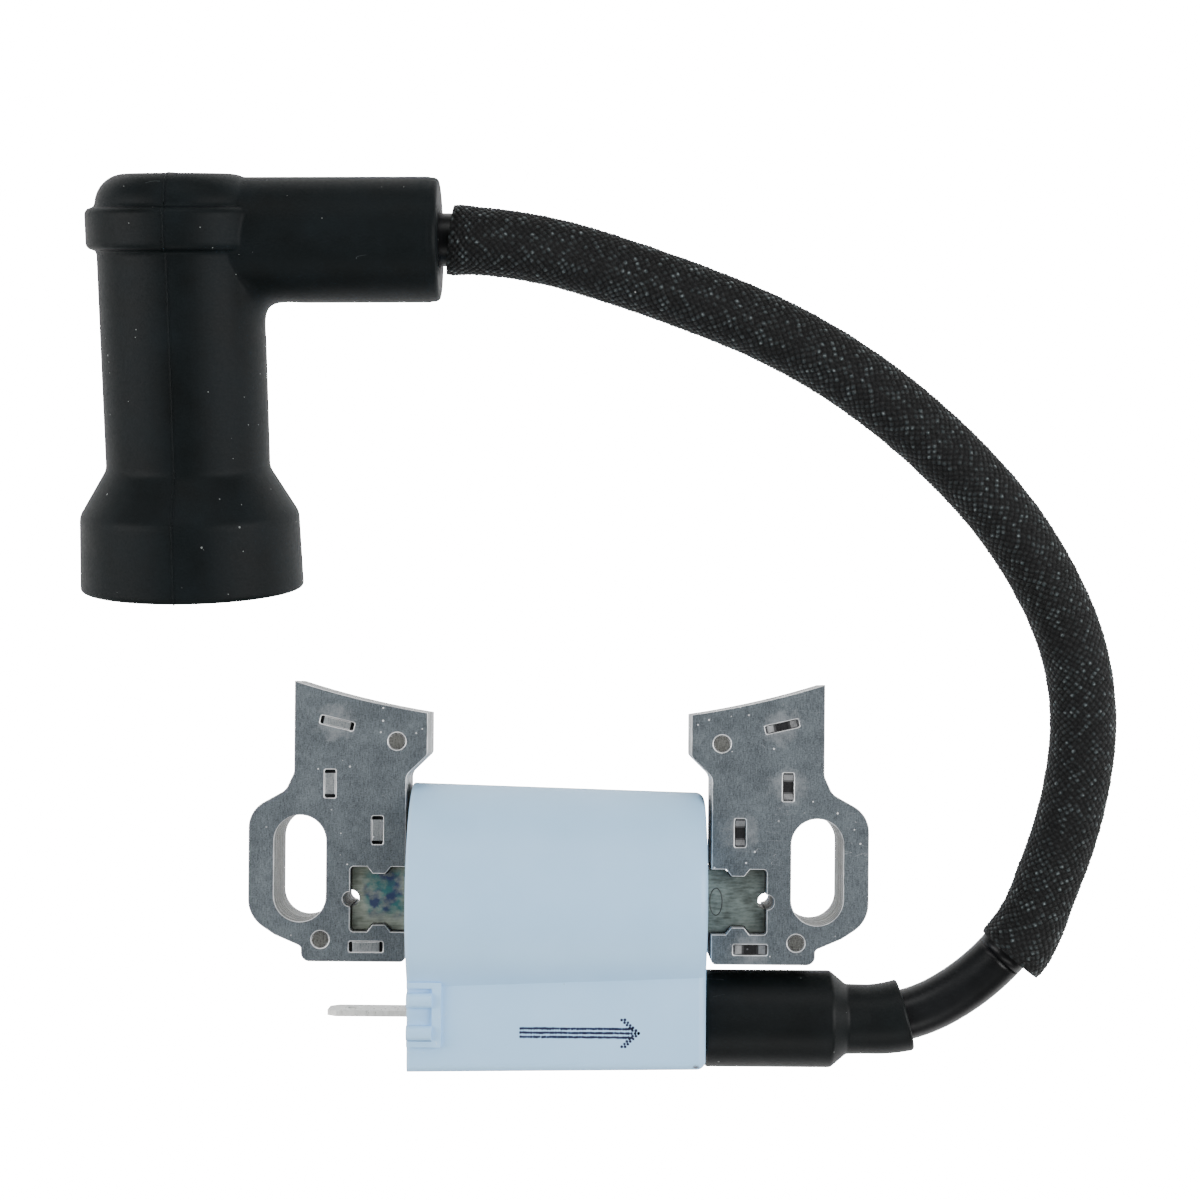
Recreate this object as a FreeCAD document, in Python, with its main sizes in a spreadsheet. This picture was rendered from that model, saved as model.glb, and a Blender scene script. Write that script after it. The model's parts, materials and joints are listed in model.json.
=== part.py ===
"""Ignition coil for a small engine, with its high tension lead and spark plug cap. Millimetres.

Frame: the laminations' mounting face is z = 0 and the origin lies midway between the two mounting
slots. X runs from the stop terminal to the high tension tower, Y points at the flywheel, and Z
points away from the engine.
"""
import FreeCAD, Part
import math
import os
import re

V = FreeCAD.Vector
X_AXIS, Y_AXIS, Z_AXIS = V(1, 0, 0), V(0, 1, 0), V(0, 0, 1)
LINKS = 8          # lead segments between the tower and the cap
SLEEVE_FIRST = 1   # the first lead segment that carries the braided sleeve

SIZES = {
    # lamination stack and its two legs
    "stack_thick": 12.0,
    "slot_spacing": 70.0,
    "slot_width": 7.0,
    "slot_span": 14.4,
    "pole_radius": 118.95,
    "pole_centre": 138.8,
    "rivet_radius": 1.05,
    # centre core
    "core_axis": -4.1,
    "core_mid": 6.0,
    "core_height": 8.8,
    "core_thick": 9.0,
    "core_reach": 28.2,
    "leg_inner": 20.7,
    "core_gap": 0.1,
    "core_corner": 0.5,
    "key_centre": 24.3,
    "key_length": 3.2,
    "key_tip_length": 1.7,
    "key_tip_round": 0.3,
    "key_depth": 0.95,
    "key_hole_radius": 1.0,
    # housing
    "case_left": -20.0,
    "case_right": 19.9,
    "case_wall": 1.4,
    "case_back": -7.0,
    "barrel_radius_left": 15.6,
    "barrel_radius_right": 14.5,
    "box_top": -8.0,
    "box_bottom": -26.8,
    "box_draft": 0.6,
    "box_front": 16.8,
    "tube_half": 5.7,
    "resin_level": -18.6,
    "edge_round": 1.2,
    "pad_right": -15.4,
    "pad_rise": 0.9,
    "pad_floor": 0.3,
    "pad_lip": 0.8,
    "pad_end_lip": 1.2,
    "pad_top": -14.6,
    "pad_bottom": -23.2,
    "rib_radius": 1.0,
    "rib_upper": -17.0,
    "rib_lower": -21.3,
    # windings, as half widths of rounded square layers about the core
    "primary_bobbin_half": 6.4,
    "primary_half": 7.7,
    "primary_corner": 9.9,
    "secondary_bobbin_half": 8.5,
    "secondary_bobbin_corner": 10.6,
    "secondary_half": 10.3,
    "secondary_corner": 11.9,
    "flange_half": 10.8,
    "flange_corner": 12.4,
    "flange_thick": 1.0,
    "winding_reach": 16.0,
    # electronics
    "board_left": -15.0,
    "board_right": 10.0,
    "board_low": -19.6,
    "board_thick": 1.2,
    "board_back": -3.0,
    "board_front": 14.0,
    "blade_tip": -31.6,
    "blade_end": -12.0,
    "blade_width": 6.3,
    "blade_thick": 0.8,
    "blade_chamfer": 1.2,
    "blade_hole_radius": 0.8,
    "strip_width": 4.0,
    "strip_thick": 0.6,
    "package_left": -1.0,
    "package_length": 9.5,
    "package_width": 10.0,
    "package_thick": 4.4,
    "package_back": -1.5,
    "package_hole_radius": 1.6,
    "package_hole_inset": 4.75,
    "chip_length": 5.0,
    "chip_width": 4.0,
    "chip_thick": 1.6,
    "chip_left": -8.0,
    "chip_back": 2.0,
    "capacitor_length": 4.0,
    "capacitor_width": 5.0,
    "capacitor_thick": 2.4,
    "capacitor_left": 3.0,
    "capacitor_back": 7.0,
    "board_resistor_radius": 1.1,
    "board_resistor_length": 6.0,
    "board_resistor_left": -10.2,
    "board_resistor_pitch": 3.5,
    "board_resistor_back": 7.2,
    # high tension tower and its rubber boot
    "tower_axis": -20.6,
    "tower_radius": 5.2,
    "tower_end": 36.0,
    "pin_radius": 1.0,
    "pin_root": 17.0,
    "pin_tip": 27.0,
    "lead_seat": 22.0,
    "boot_start": 20.1,
    "boot_radius": 6.65,
    "boot_shoulder": 37.6,
    "boot_neck": 40.0,
    "boot_neck_radius": 4.85,
    "boot_sweep": 15.0,
    # lead, a chain of arcs in a plane that leans back from the laminations
    "lead_lean": 6.06,
    "lead_radius": 3.5,
    "conductor_radius": 1.0,
    "conductor_overrun": 3.3,
    "bend_start": 42.6,
    "bend_radius": 20.3,
    "bend_sweep": 29.5,
    "link_length": 20.27,
    "sweep_1": 36.7,
    "sweep_2": 18.8,
    "sweep_3": 30.4,
    "sweep_4": 18.0,
    "sweep_5": 11.9,
    "sweep_6": 13.5,
    "sweep_7": 4.6,
    "sweep_8": 17.2,
    "joint_gap": 0.05,
    "sleeve_radius": 4.45,
    "sleeve_bore": 4.0,
    "sleeve_mouth_sweep": 20.5,
    "sleeve_cap_sweep": 0.7,
    # spark plug cap, from the crossing of its two barrels
    "cap_tip_angle": 84.56,
    "arm_length": 34.6,
    "arm_radius": 8.25,
    "arm_bore_depth": 14.0,
    "trunk_radius": 11.0,
    "dome_top": 8.7,
    "dome_round": 4.0,
    "collar_radius": 12.35,
    "collar_top": 4.3,
    "collar_bottom": -1.2,
    "flare_start": 30.3,
    "flare_end": 36.5,
    "flare_radius": 14.75,
    "mouth_depth": 46.7,
    "mouth_radius": 15.1,
    "mouth_bore_radius": 12.4,
    "mouth_bore_depth": 10.4,
    "seal_bore_radius": 5.1,
    "insulator_radius": 6.2,
    "insulator_top": 3.0,
    "insulator_arm_radius": 5.0,
    "screw_radius": 1.6,
    "screw_engagement": 6.0,
    "screw_head_radius": 3.0,
    "screw_head_thick": 1.5,
    "resistor_radius": 2.3,
    "resistor_end": 13.0,
    "spring_radius": 1.8,
    "spring_wire_radius": 0.3,
    "spring_end": 16.0,
    "clip_radius": 4.0,
    "clip_bore_radius": 3.15,
    "clip_end": 24.0,
    "clip_floor": 0.8,
    "clip_slit": 1.2,
}

doc = FreeCAD.newDocument("IgnitionCoil")
sheet = doc.addObject("Spreadsheet::Sheet", "Sizes")
for row, (alias, value) in enumerate(SIZES.items(), start=1):
    sheet.set(f"A{row}", alias.replace("_", " "))
    sheet.set(f"B{row}", str(value))
    sheet.setAlias(f"B{row}", alias)
doc.recompute()

finished = []   # the sub-parts, in the order they are made


def size(alias):
    """A driving dimension's number, read back from the sheet."""
    return float(sheet.get(alias))


def formula(text):
    """Turn alias words into references to the sheet's cells."""
    def cell(word):
        return "Sizes." + word.group(0) if word.group(0) in SIZES else word.group(0)
    return re.sub(r"[a-z][a-z0-9_]+", cell, str(text))


def bind(item, **formulas):
    """Tie properties to the sheet."""
    for name, text in formulas.items():
        item.setExpression(name, formula(text))
    return item


def place(item, x=0, y=0, z=0, rotation=None):
    """Turn an object, then tie its position to the sheet."""
    if rotation:
        item.Placement = FreeCAD.Placement(V(0, 0, 0), rotation)
    for axis, text in (("x", x), ("y", y), ("z", z)):
        item.setExpression(f"Placement.Base.{axis}", formula(text))
    return item


def box(name, x, y, z):
    """A box between a low and a high formula on each axis."""
    item = doc.addObject("Part::Box", name)
    for side, (low, high) in zip(("Length", "Width", "Height"), (x, y, z)):
        bind(item, **{side: f"({high}) - ({low})"})
    return place(item, x[0], y[0], z[0])


ALONG_X = FreeCAD.Rotation(Y_AXIS, 90)
ALONG_Y = FreeCAD.Rotation(X_AXIS, -90)
ALONG_Z = FreeCAD.Rotation()


def cylinder(name, radius, length, start, rotation=ALONG_X):
    """A cylinder from a start point, along X unless another rotation is given."""
    item = doc.addObject("Part::Cylinder", name)
    bind(item, Radius=radius, Height=length)
    return place(item, *start, rotation=rotation)


def cone(name, start_radius, end_radius, length, start, rotation=ALONG_X):
    """A cone from a start point, along X unless another rotation is given."""
    item = doc.addObject("Part::Cone", name)
    bind(item, Radius1=start_radius, Radius2=end_radius, Height=length)
    return place(item, *start, rotation=rotation)


def fuse(name, *shapes):
    """The union of several objects."""
    item = doc.addObject("Part::MultiFuse", name)
    item.Shapes = list(shapes)
    return item


def common(name, first, second):
    """The volume that two objects share."""
    item = doc.addObject("Part::MultiCommon", name)
    item.Shapes = [first, second]
    return item


def group(name, *shapes):
    """Separate solids kept as one sub-part."""
    item = doc.addObject("Part::Compound", name)
    item.Links = list(shapes)
    return item


def cut(name, base, *tools):
    """A base less one or more tools."""
    item = doc.addObject("Part::Cut", name)
    item.Base = base
    item.Tool = tools[0] if len(tools) == 1 else fuse(name + "_tools", *tools)
    return item


def finish(item, node):
    """Name a sub-part and put it on the list of parts."""
    item.Label = node
    finished.append(item)
    return item


# ---------------------------------------------------------------- laminations

# The right leg's outline about the origin, as corner points with a corner radius each. The top edge is
# trimmed by the pole arc, so its two corners stand above it.
LEG_OUTLINE = [
    (17.84, 24.0, 0), (17.84, 15.5, 0.8), (20.7, 12.7, 1.5), (20.7, -12.6, 0.7), (34.8, -12.6, 1.2),
    (34.8, -10.55, 0.6), (38.4, -9.0, 2.0), (42.0, -6.6, 4.5), (42.0, 7.8, 4.0), (37.0, 10.6, 2.0),
    (35.9, 13.0, 1.5), (35.9, 28.0, 0),
]
RIVETS = [(22.0, 17.3), (32.2, -9.6)]   # on the right leg


def add_rounded_outline(sketch, corners):
    """Add a closed outline of straight lines with rounded corners to a sketch."""
    count = len(corners)
    joints = []
    for i, (x, y, radius) in enumerate(corners):
        here = V(x, y, 0)
        back = (V(*corners[i - 1][:2], 0) - here).normalize()
        ahead = (V(*corners[(i + 1) % count][:2], 0) - here).normalize()
        if radius == 0:
            joints.append((here, here))
            continue
        half_angle = back.getAngle(ahead) / 2
        setback = radius / math.tan(half_angle)
        start, end = here + back * setback, here + ahead * setback
        middle = here + (back + ahead).normalize() * (radius / math.sin(half_angle) - radius)
        sketch.addGeometry(Part.Arc(start, middle, end), False)
        joints.append((start, end))
    for i in range(count):
        sketch.addGeometry(Part.LineSegment(joints[i][1], joints[(i + 1) % count][0]), False)


def padded_outline(name, corners, depth):
    """A body padded up from a rounded outline on its XY plane."""
    body = doc.addObject("PartDesign::Body", name)
    sketch = body.newObject("Sketcher::SketchObject", name + "_outline")
    plane = [part for part in body.Origin.OriginFeatures if part.Role == "XY_Plane"][0]
    sketch.AttachmentSupport = [(plane, "")]
    sketch.MapMode = "FlatFace"
    add_rounded_outline(sketch, corners)
    pad = body.newObject("PartDesign::Pad", name + "_pad")
    pad.Profile = sketch
    bind(pad, Length=depth)
    return body


def key_tools(name, side):
    """The two keys of a leg that bite into the core's top and bottom edges, with sloping flanks."""
    middle = side * size("key_centre")
    base, tip, tip_round = size("key_length") / 2, size("key_tip_length") / 2, size("key_tip_round")
    keys = []
    for end, outwards in (("top", 1), ("bottom", -1)):
        edge = size("core_axis") + outwards * size("core_height") / 2
        low, beyond = edge - outwards * size("key_depth"), edge + outwards
        corners = [(middle - base, beyond, 0), (middle - base, edge, 0), (middle - tip, low, tip_round),
                   (middle + tip, low, tip_round), (middle + base, edge, 0), (middle + base, beyond, 0)]
        keys.append(padded_outline(f"{name}_{end}_key", corners, "stack_thick"))
    return fuse(name + "_keys", *keys)


def core_outline(name, start, depth, end):
    """The core's plain outline between two places along X, padded up, with rounded corners."""
    corner = size("core_corner")
    low, high = (size("core_axis") + side * size("core_height") / 2 for side in (-1, 1))
    corners = [(start, low, corner), (end, low, corner), (end, high, corner), (start, high, corner)]
    return padded_outline(name, corners, depth)


def slot_tool(name, side):
    """A mounting slot: two round ends and the straight between them."""
    x = f"{side} * slot_spacing / 2"
    reach = "(slot_span - slot_width) / 2"
    straight = box(name + "_straight", (f"{x} - slot_width / 2", f"{x} + slot_width / 2"),
                   (f"-{reach}", reach), (0, "stack_thick"))
    ends = [cylinder(f"{name}_end_{end}", "slot_width / 2", "stack_thick", (x, y, 0), ALONG_Z)
            for end, y in (("low", f"-{reach}"), ("high", reach))]
    return fuse(name, straight, *ends)


def leg(name, side):
    """One pole leg: the stack of laminations between a mounting slot and its pole face."""
    corners = [(side * x, y, radius) for x, y, radius in LEG_OUTLINE]
    outline = padded_outline(name + "_stack", corners, "stack_thick")
    pole = cylinder(name + "_pole_arc", "pole_radius", "stack_thick", (0, "pole_centre", 0), ALONG_Z)
    slot = slot_tool(name + "_slot", side)
    pocket_box = core_outline(name + "_pocket_box", side * (size("leg_inner") - 1), "stack_thick",
                              side * size("core_reach"))
    pocket = cut(name + "_pocket", pocket_box, key_tools(name, side))
    hole = cylinder(name + "_key_hole", "key_hole_radius", "stack_thick",
                    (f"{side} * core_reach", "core_axis", 0), ALONG_Z)
    rivets = rivet_group(name + "_rivet_holes", side)
    return cut(name, outline, pole, slot, pocket, hole, rivets)


def rivet_group(name, side):
    """The two flush rivets that hold a leg's sheets together."""
    pins = [cylinder(f"{name}_{i}", "rivet_radius", "stack_thick", (side * x, y, 0), ALONG_Z)
            for i, (x, y) in enumerate(RIVETS)]
    return group(name, *pins)


def centre_core():
    """The bar of laminations through the windings, keyed into both legs."""
    bar = core_outline("core_bar", -size("core_reach"), "core_thick", size("core_reach"))
    place(bar, 0, 0, "core_mid - core_thick / 2")
    holes = [cylinder(f"core_hole_{end}", "key_hole_radius", "stack_thick",
                      (f"{side} * core_reach", "core_axis", 0), ALONG_Z)
             for end, side in (("left", -1), ("right", 1))]
    return cut("core", bar, key_tools("core_left", -1), key_tools("core_right", 1), *holes)


finish(leg("left_leg", -1), "left_pole_laminations")
finish(leg("right_leg", 1), "right_pole_laminations")
finish(rivet_group("left_rivets", -1), "left_pole_rivets")
finish(rivet_group("right_rivets", 1), "right_pole_rivets")
finish(centre_core(), "centre_core_laminations")


# ------------------------------------------------------------------- windings

def rounded_bar(name, half, corner, x):
    """A square bar about the core's axis, its corners rounded off by a cylinder."""
    bar = box(name + "_square", x, (f"core_axis - {half}", f"core_axis + {half}"),
              (f"core_mid - {half}", f"core_mid + {half}"))
    rod = cylinder(name + "_round", corner, f"({x[1]}) - ({x[0]})", (x[0], "core_axis", "core_mid"))
    return common(name, bar, rod)


def tube_core(name, x):
    """The square bar that the housing's core tube fills."""
    return box(name, x, ("core_axis - tube_half", "core_axis + tube_half"),
               ("core_mid - tube_half", "core_mid + tube_half"))


WOUND = ("-winding_reach", "winding_reach")
FLANGED = ("-winding_reach - flange_thick", "winding_reach + flange_thick")


def primary_bobbin():
    """Moulded spool on the core tube, with a flange at each end."""
    wall = rounded_bar("primary_wall", "primary_bobbin_half", "primary_corner", FLANGED)
    left = rounded_bar("primary_flange_left", "primary_half", "primary_corner",
                       (FLANGED[0], WOUND[0]))
    right = rounded_bar("primary_flange_right", "primary_half", "primary_corner",
                        (WOUND[1], FLANGED[1]))
    return cut("primary_spool", fuse("primary_spool_solid", wall, left, right),
               tube_core("primary_spool_bore", FLANGED))


def primary_winding():
    """The copper turns between the primary spool's flanges."""
    outside = rounded_bar("primary_turns", "primary_half", "primary_corner", WOUND)
    inside = rounded_bar("primary_turns_bore", "primary_bobbin_half", "primary_corner", WOUND)
    return cut("primary_copper", outside, inside)


SECTIONS = 4   # bays of the secondary winding


def secondary_flanges(name):
    """The flanges that split the secondary winding into bays."""
    pitch = f"(2 * winding_reach / {SECTIONS})"
    rings = []
    for i in range(SECTIONS + 1):
        middle = f"({i} * {pitch} - winding_reach)"
        inner_edge = f"{middle} - flange_thick / 2"
        outer_edge = f"{middle} + flange_thick / 2"
        if i == 0:
            inner_edge, outer_edge = FLANGED[0], WOUND[0]
        if i == SECTIONS:
            inner_edge, outer_edge = WOUND[1], FLANGED[1]
        rings.append(rounded_bar(f"{name}_{i}", "flange_half", "flange_corner",
                                 (inner_edge, outer_edge)))
    return fuse(name, *rings)


def crossover(name):
    """The notch in the inner flanges where the fine wire crosses from bay to bay."""
    return box(name, ("-winding_reach", "winding_reach"),
               ("core_axis + secondary_bobbin_half", "core_axis + flange_half + 1"),
               ("core_mid - 1", "core_mid + 1"))


def secondary_bobbin():
    """Moulded spool around the primary, with flanges between the bays."""
    wall = rounded_bar("secondary_wall", "secondary_bobbin_half", "secondary_bobbin_corner", FLANGED)
    solid = fuse("secondary_spool_solid", wall, secondary_flanges("secondary_flange"))
    bore = rounded_bar("secondary_spool_bore", "primary_half", "primary_corner", FLANGED)
    return cut("secondary_spool", solid, bore, crossover("spool_crossover"))


def secondary_winding():
    """The fine wire in the bays, joined through the crossover notch."""
    outside = rounded_bar("secondary_turns", "secondary_half", "secondary_corner", WOUND)
    inside = rounded_bar("secondary_turns_bore", "secondary_bobbin_half", "secondary_bobbin_corner",
                         WOUND)
    flanges = cut("bay_walls", secondary_flanges("bay_wall"), crossover("winding_crossover"))
    return cut("secondary_copper", outside, inside, flanges)


windings = [finish(primary_bobbin(), "primary_bobbin"),
            finish(primary_winding(), "primary_winding"),
            finish(secondary_bobbin(), "secondary_bobbin"),
            finish(secondary_winding(), "secondary_winding")]


# ---------------------------------------------------------------- electronics

def igniter_board():
    """The circuit board of the ignition module."""
    return box("board", ("board_left", "board_right"), ("board_low", "board_low + board_thick"),
               ("board_back", "board_front"))


def power_transistor():
    """The switching transistor under the board."""
    under = "board_low - package_thick"
    body = box("transistor_body", ("package_left", "package_left + package_length"), (under, "board_low"),
               ("package_back", "package_back + package_width"))
    hole = cylinder("transistor_hole", "package_hole_radius", "package_thick",
                    ("package_left + package_hole_inset", under,
                     "package_back + package_width - 1.5 * package_hole_radius"), ALONG_Y)
    return cut("transistor", body, hole)


def board_components():
    """Two resistors, a capacitor and the trigger chip, on the board's two faces."""
    top = "board_low + board_thick"
    items = [box(name, (f"{name}_left", f"{name}_left + {name}_length"), (top, f"{top} + {name}_thick"),
                 (f"{name}_back", f"{name}_back + {name}_width")) for name in ("chip", "capacitor")]
    for i in range(2):
        start = (f"board_resistor_left + {i} * board_resistor_pitch",
                 "board_low - board_resistor_radius", "board_resistor_back")
        items.append(cylinder(f"resistor_{i}", "board_resistor_radius", "board_resistor_length", start,
                              ALONG_Z))
    return group("components", *items)


def stop_terminal():
    """The flat blade for the engine stop wire, soldered under the board."""
    tip, end, half = size("blade_tip"), size("blade_end"), size("blade_width") / 2
    corner, hole = size("blade_chamfer"), size("blade_hole_radius")
    outline = [(tip, -half + corner, 0), (tip + corner, -half, 0), (end, -half, 0),
               (end, half, 0), (tip + corner, half, 0), (tip, half - corner, 0)]
    blade = padded_outline("blade", outline, "blade_thick")
    place(blade, 0, "board_low", "core_mid", rotation=FreeCAD.Rotation(X_AXIS, 90))
    drill = cylinder("blade_hole", hole, "2 * blade_thick",
                     ("blade_tip + 3.4", "board_low - 1.5 * blade_thick", "core_mid"), ALONG_Y)
    return cut("stop_blade", blade, drill)


def ground_strip():
    """The strip that joins the board's earth to the core."""
    z = ("core_mid - strip_width / 2", "core_mid + strip_width / 2")
    left = "-winding_reach - flange_thick - 2 * strip_thick"
    top = "board_low + board_thick"
    upright = box("strip_upright", (left, f"{left} + strip_thick"),
                  (top, "core_axis - core_height / 2"), z)
    foot = box("strip_foot", (left, "board_left + 2"), (top, f"{top} + strip_thick"), z)
    return fuse("strip", upright, foot)


def ht_terminal():
    """The high tension pin in the tower, with its tail to the secondary winding."""
    pin = cylinder("pin", "pin_radius", "pin_tip - pin_root", ("pin_root", "tower_axis", "core_mid"))
    disc = cylinder("pin_disc", "2.5 * pin_radius", "strip_thick",
                    ("pin_root", "tower_axis", "core_mid"))
    tail = box("pin_tail", ("pin_root", "pin_root + strip_thick"),
               ("tower_axis", "core_axis - secondary_bobbin_half"),
               ("core_mid - pin_radius", "core_mid + pin_radius"))
    return fuse("ht_pin", pin, disc, tail)


electronics = [finish(igniter_board(), "igniter_board"),
               finish(power_transistor(), "power_transistor"),
               finish(board_components(), "board_components"),
               finish(stop_terminal(), "stop_terminal"),
               finish(ground_strip(), "ground_strip"),
               finish(ht_terminal(), "ht_terminal")]
strip, pin = electronics[4], electronics[5]


# -------------------------------------------------------------------- housing

def case_volume(name, inset, left="case_left"):
    """The housing's drafted volume, inset by a wall and cut off at a left plane.

    A half-round barrel around the windings and a flat-fronted box for the electronics, both cut off
    flat at the back.
    """
    beyond = "2 * barrel_radius_left"
    length = f"case_right - ({inset}) - case_left"
    barrel = cone(name + "_cone", f"barrel_radius_left - ({inset})", f"barrel_radius_right - ({inset})",
                  length, ("case_left", "core_axis", "core_mid"))
    slab = box(name + "_slab", (left, "case_right"), (f"core_axis - {beyond}", f"core_axis + {beyond}"),
               (f"case_back + ({inset})", f"core_mid + {beyond}"))
    half_round = common(name + "_half_round", barrel, slab)
    wedge = doc.addObject("Part::Wedge", name + "_box")
    height = f"box_top - box_bottom - ({inset})"
    depth = f"box_front - case_back - 2 * ({inset})"
    bind(wedge, Xmin=0, X2min=0, Ymin=0, Zmin=0, Z2min="box_draft",
         Xmax=depth, X2max=depth, Ymax=length, Zmax=height, Z2max=height)
    place(wedge, "case_left", f"box_bottom + ({inset})", f"case_back + ({inset})",
          rotation=FreeCAD.Rotation(Z_AXIS, X_AXIS, Y_AXIS, "XYZ"))
    return fuse(name, half_round, common(name + "_cut_box", wedge, slab))


def rounded_case():
    """The outside of the housing, its closed end's front edges rounded."""
    outside = case_volume("case_outside", "0")
    doc.recompute()
    right, back, radius = size("case_right"), size("case_back"), size("edge_round")
    chosen = []
    for number, edge in enumerate(outside.Shape.Edges, start=1):
        box_of_edge = edge.BoundBox
        on_end = box_of_edge.XMin > right - 0.01
        at_bottom = box_of_edge.YMax < size("box_bottom") + size("box_draft") + 0.01
        if (on_end and box_of_edge.ZMax > back + 0.01) or (at_bottom and box_of_edge.ZMin > back + 0.01):
            chosen.append((number, radius, radius))
    rounded = doc.addObject("Part::Fillet", "case_rounded")
    rounded.Base = outside
    rounded.Edges = chosen
    return rounded


def terminal_pad():
    """The raised pad at the open end's front, with two half-round ribs that run in from the rim."""
    pad = box("pad", ("case_left", "pad_right"), ("pad_bottom", "pad_top"),
              ("box_front - case_wall / 2", "box_front + pad_rise"))
    length = "pad_right - case_left - pad_end_lip"
    ribs = [cylinder(f"pad_rib_{i}", "rib_radius", length, ("case_left", y, "box_front + pad_rise"))
            for i, y in enumerate(("rib_upper", "rib_lower"))]
    trough = box("pad_trough", ("case_left - 1", "pad_right - pad_end_lip"),
                 ("pad_bottom + pad_lip", "pad_top - pad_lip"),
                 ("box_front + pad_floor", "box_front + pad_rise + 1"))
    return fuse("terminal_pad", cut("pad_hollow", pad, trough), *ribs)


def core_hole(name):
    """The square hole that the core slides through."""
    return box(name, ("case_left - 1", "case_right + 1"),
               ("core_axis - core_height / 2 - core_gap", "core_axis + core_height / 2 + core_gap"),
               ("core_mid - core_thick / 2 - core_gap", "core_mid + core_thick / 2 + core_gap"))


def coil_housing():
    """The moulded case: drafted shell open at the left, core tube, tower and terminal pad."""
    shell = cut("case_shell", rounded_case(), case_volume("case_space", "case_wall"))
    tube = tube_core("core_tube", ("case_left", "case_right"))
    tower = cylinder("tower", "tower_radius", "tower_end - case_right + case_wall",
                     ("case_right - case_wall", "tower_axis", "core_mid"))
    solid = fuse("case_solid", shell, tube, tower, terminal_pad())
    seat = cylinder("tower_seat", "lead_radius", "tower_end - lead_seat + 1",
                    ("lead_seat", "tower_axis", "core_mid"))
    return cut("case", solid, core_hole("case_core_hole"), seat, pin, strip)


def potting_resin():
    """The resin that fills the case around everything inside it."""
    fill = case_volume("resin_space", "case_wall", "resin_level")
    tube = tube_core("resin_tube", ("case_left", "case_right"))
    return cut("resin", fill, tube, *windings, *electronics)


# --------------------------------------------------------------- lead and cap

def lead_frame():
    """The frame of the plane that the lead lies in: X along the tower, Z out of the plane."""
    return FreeCAD.Placement(V(0, size("tower_axis"), size("core_mid")),
                             FreeCAD.Rotation(X_AXIS, size("lead_lean")))


def arc_end(start, heading, radius, sweep):
    """The end of a left-hand bend in the lead's plane."""
    turned = heading + sweep
    centre = start + V(-math.sin(heading), math.cos(heading), 0) * radius
    return centre + V(math.sin(turned), -math.cos(turned), 0) * radius, turned


def lead_path():
    """Each junction of the lead as a point and a heading in radians, from the tower to the cap."""
    start, heading = V(size("bend_start"), 0, 0), 0.0
    point, heading = arc_end(start, heading, size("bend_radius"), math.radians(size("bend_sweep")))
    junctions = [(point, heading)]
    for i in range(1, LINKS + 1):
        sweep = math.radians(size(f"sweep_{i}"))
        point, heading = arc_end(point, heading, size("link_length") / sweep, sweep)
        junctions.append((point, heading))
    return junctions


JUNCTIONS = lead_path()
ARM_END, ARM_HEADING = JUNCTIONS[-1]


def bend(name, start, heading, bend_radius, sweep, tube_radius, skip=0.0):
    """A bent rod in the lead's plane, starting a skipped angle along its arc."""
    rod = doc.addObject("Part::Torus", name)
    bind(rod, Radius1=bend_radius, Radius2=tube_radius, Angle3=f"{sweep} - {skip}")
    turn = math.degrees(heading) - 90 + skip
    radius = size("bend_radius") if bend_radius == "bend_radius" else link_radius(sweep)
    centre = start + V(-math.sin(heading), math.cos(heading), 0) * radius
    rod.Placement = FreeCAD.Placement(centre, FreeCAD.Rotation(Z_AXIS, turn))
    return rod


def link_radius(sweep):
    """The bend radius of a lead segment, from its length and its sweep's alias."""
    return size("link_length") / math.radians(size(sweep))


def ball(name, centre, radius):
    """A sphere in the lead's plane."""
    item = doc.addObject("Part::Sphere", name)
    bind(item, Radius=radius)
    item.Placement = FreeCAD.Placement(centre, FreeCAD.Rotation())
    return item


def rod_along(name, start, heading, radius, length):
    """A straight rod in the lead's plane."""
    item = doc.addObject("Part::Cylinder", name)
    bind(item, Radius=radius, Height=length)
    turn = FreeCAD.Rotation(Z_AXIS, math.degrees(heading)) * ALONG_X
    item.Placement = FreeCAD.Placement(start, turn)
    return item


def in_lead_plane(item):
    """Move a finished lead piece from the lead's own plane into the part's frame."""
    moved = group(item.Name + "_in_place", item)
    moved.Placement = lead_frame()
    return moved


def lead_root():
    """The lead's first stretch, from its seat in the tower to the first flexing point."""
    start = V(size("bend_start"), 0, 0)
    flex, heading = JUNCTIONS[0]
    straight = "bend_start - lead_seat"
    wire = fuse("root_wire",
                rod_along("root_wire_straight", V(size("pin_tip"), 0, 0), 0, "conductor_radius",
                          "bend_start - pin_tip"),
                bend("root_wire_bend", start, 0, "bend_radius", "bend_sweep", "conductor_radius"),
                rod_along("root_wire_end", flex, heading, "conductor_radius", "conductor_overrun"))
    rubber = fuse("root_rubber",
                  rod_along("root_straight", V(size("lead_seat"), 0, 0), 0, "lead_radius", straight),
                  bend("root_bend", start, 0, "bend_radius", "bend_sweep", "lead_radius"),
                  ball("root_ball", flex, "lead_radius"))
    pin_bore = rod_along("root_pin_bore", V(size("lead_seat") - 1, 0, 0), 0, "pin_radius",
                         "pin_tip - lead_seat + 1")
    finish(in_lead_plane(cut("root_jacket", rubber, wire, pin_bore)), "lead_jacket_root")
    finish(in_lead_plane(wire), "lead_conductor_root")


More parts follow.
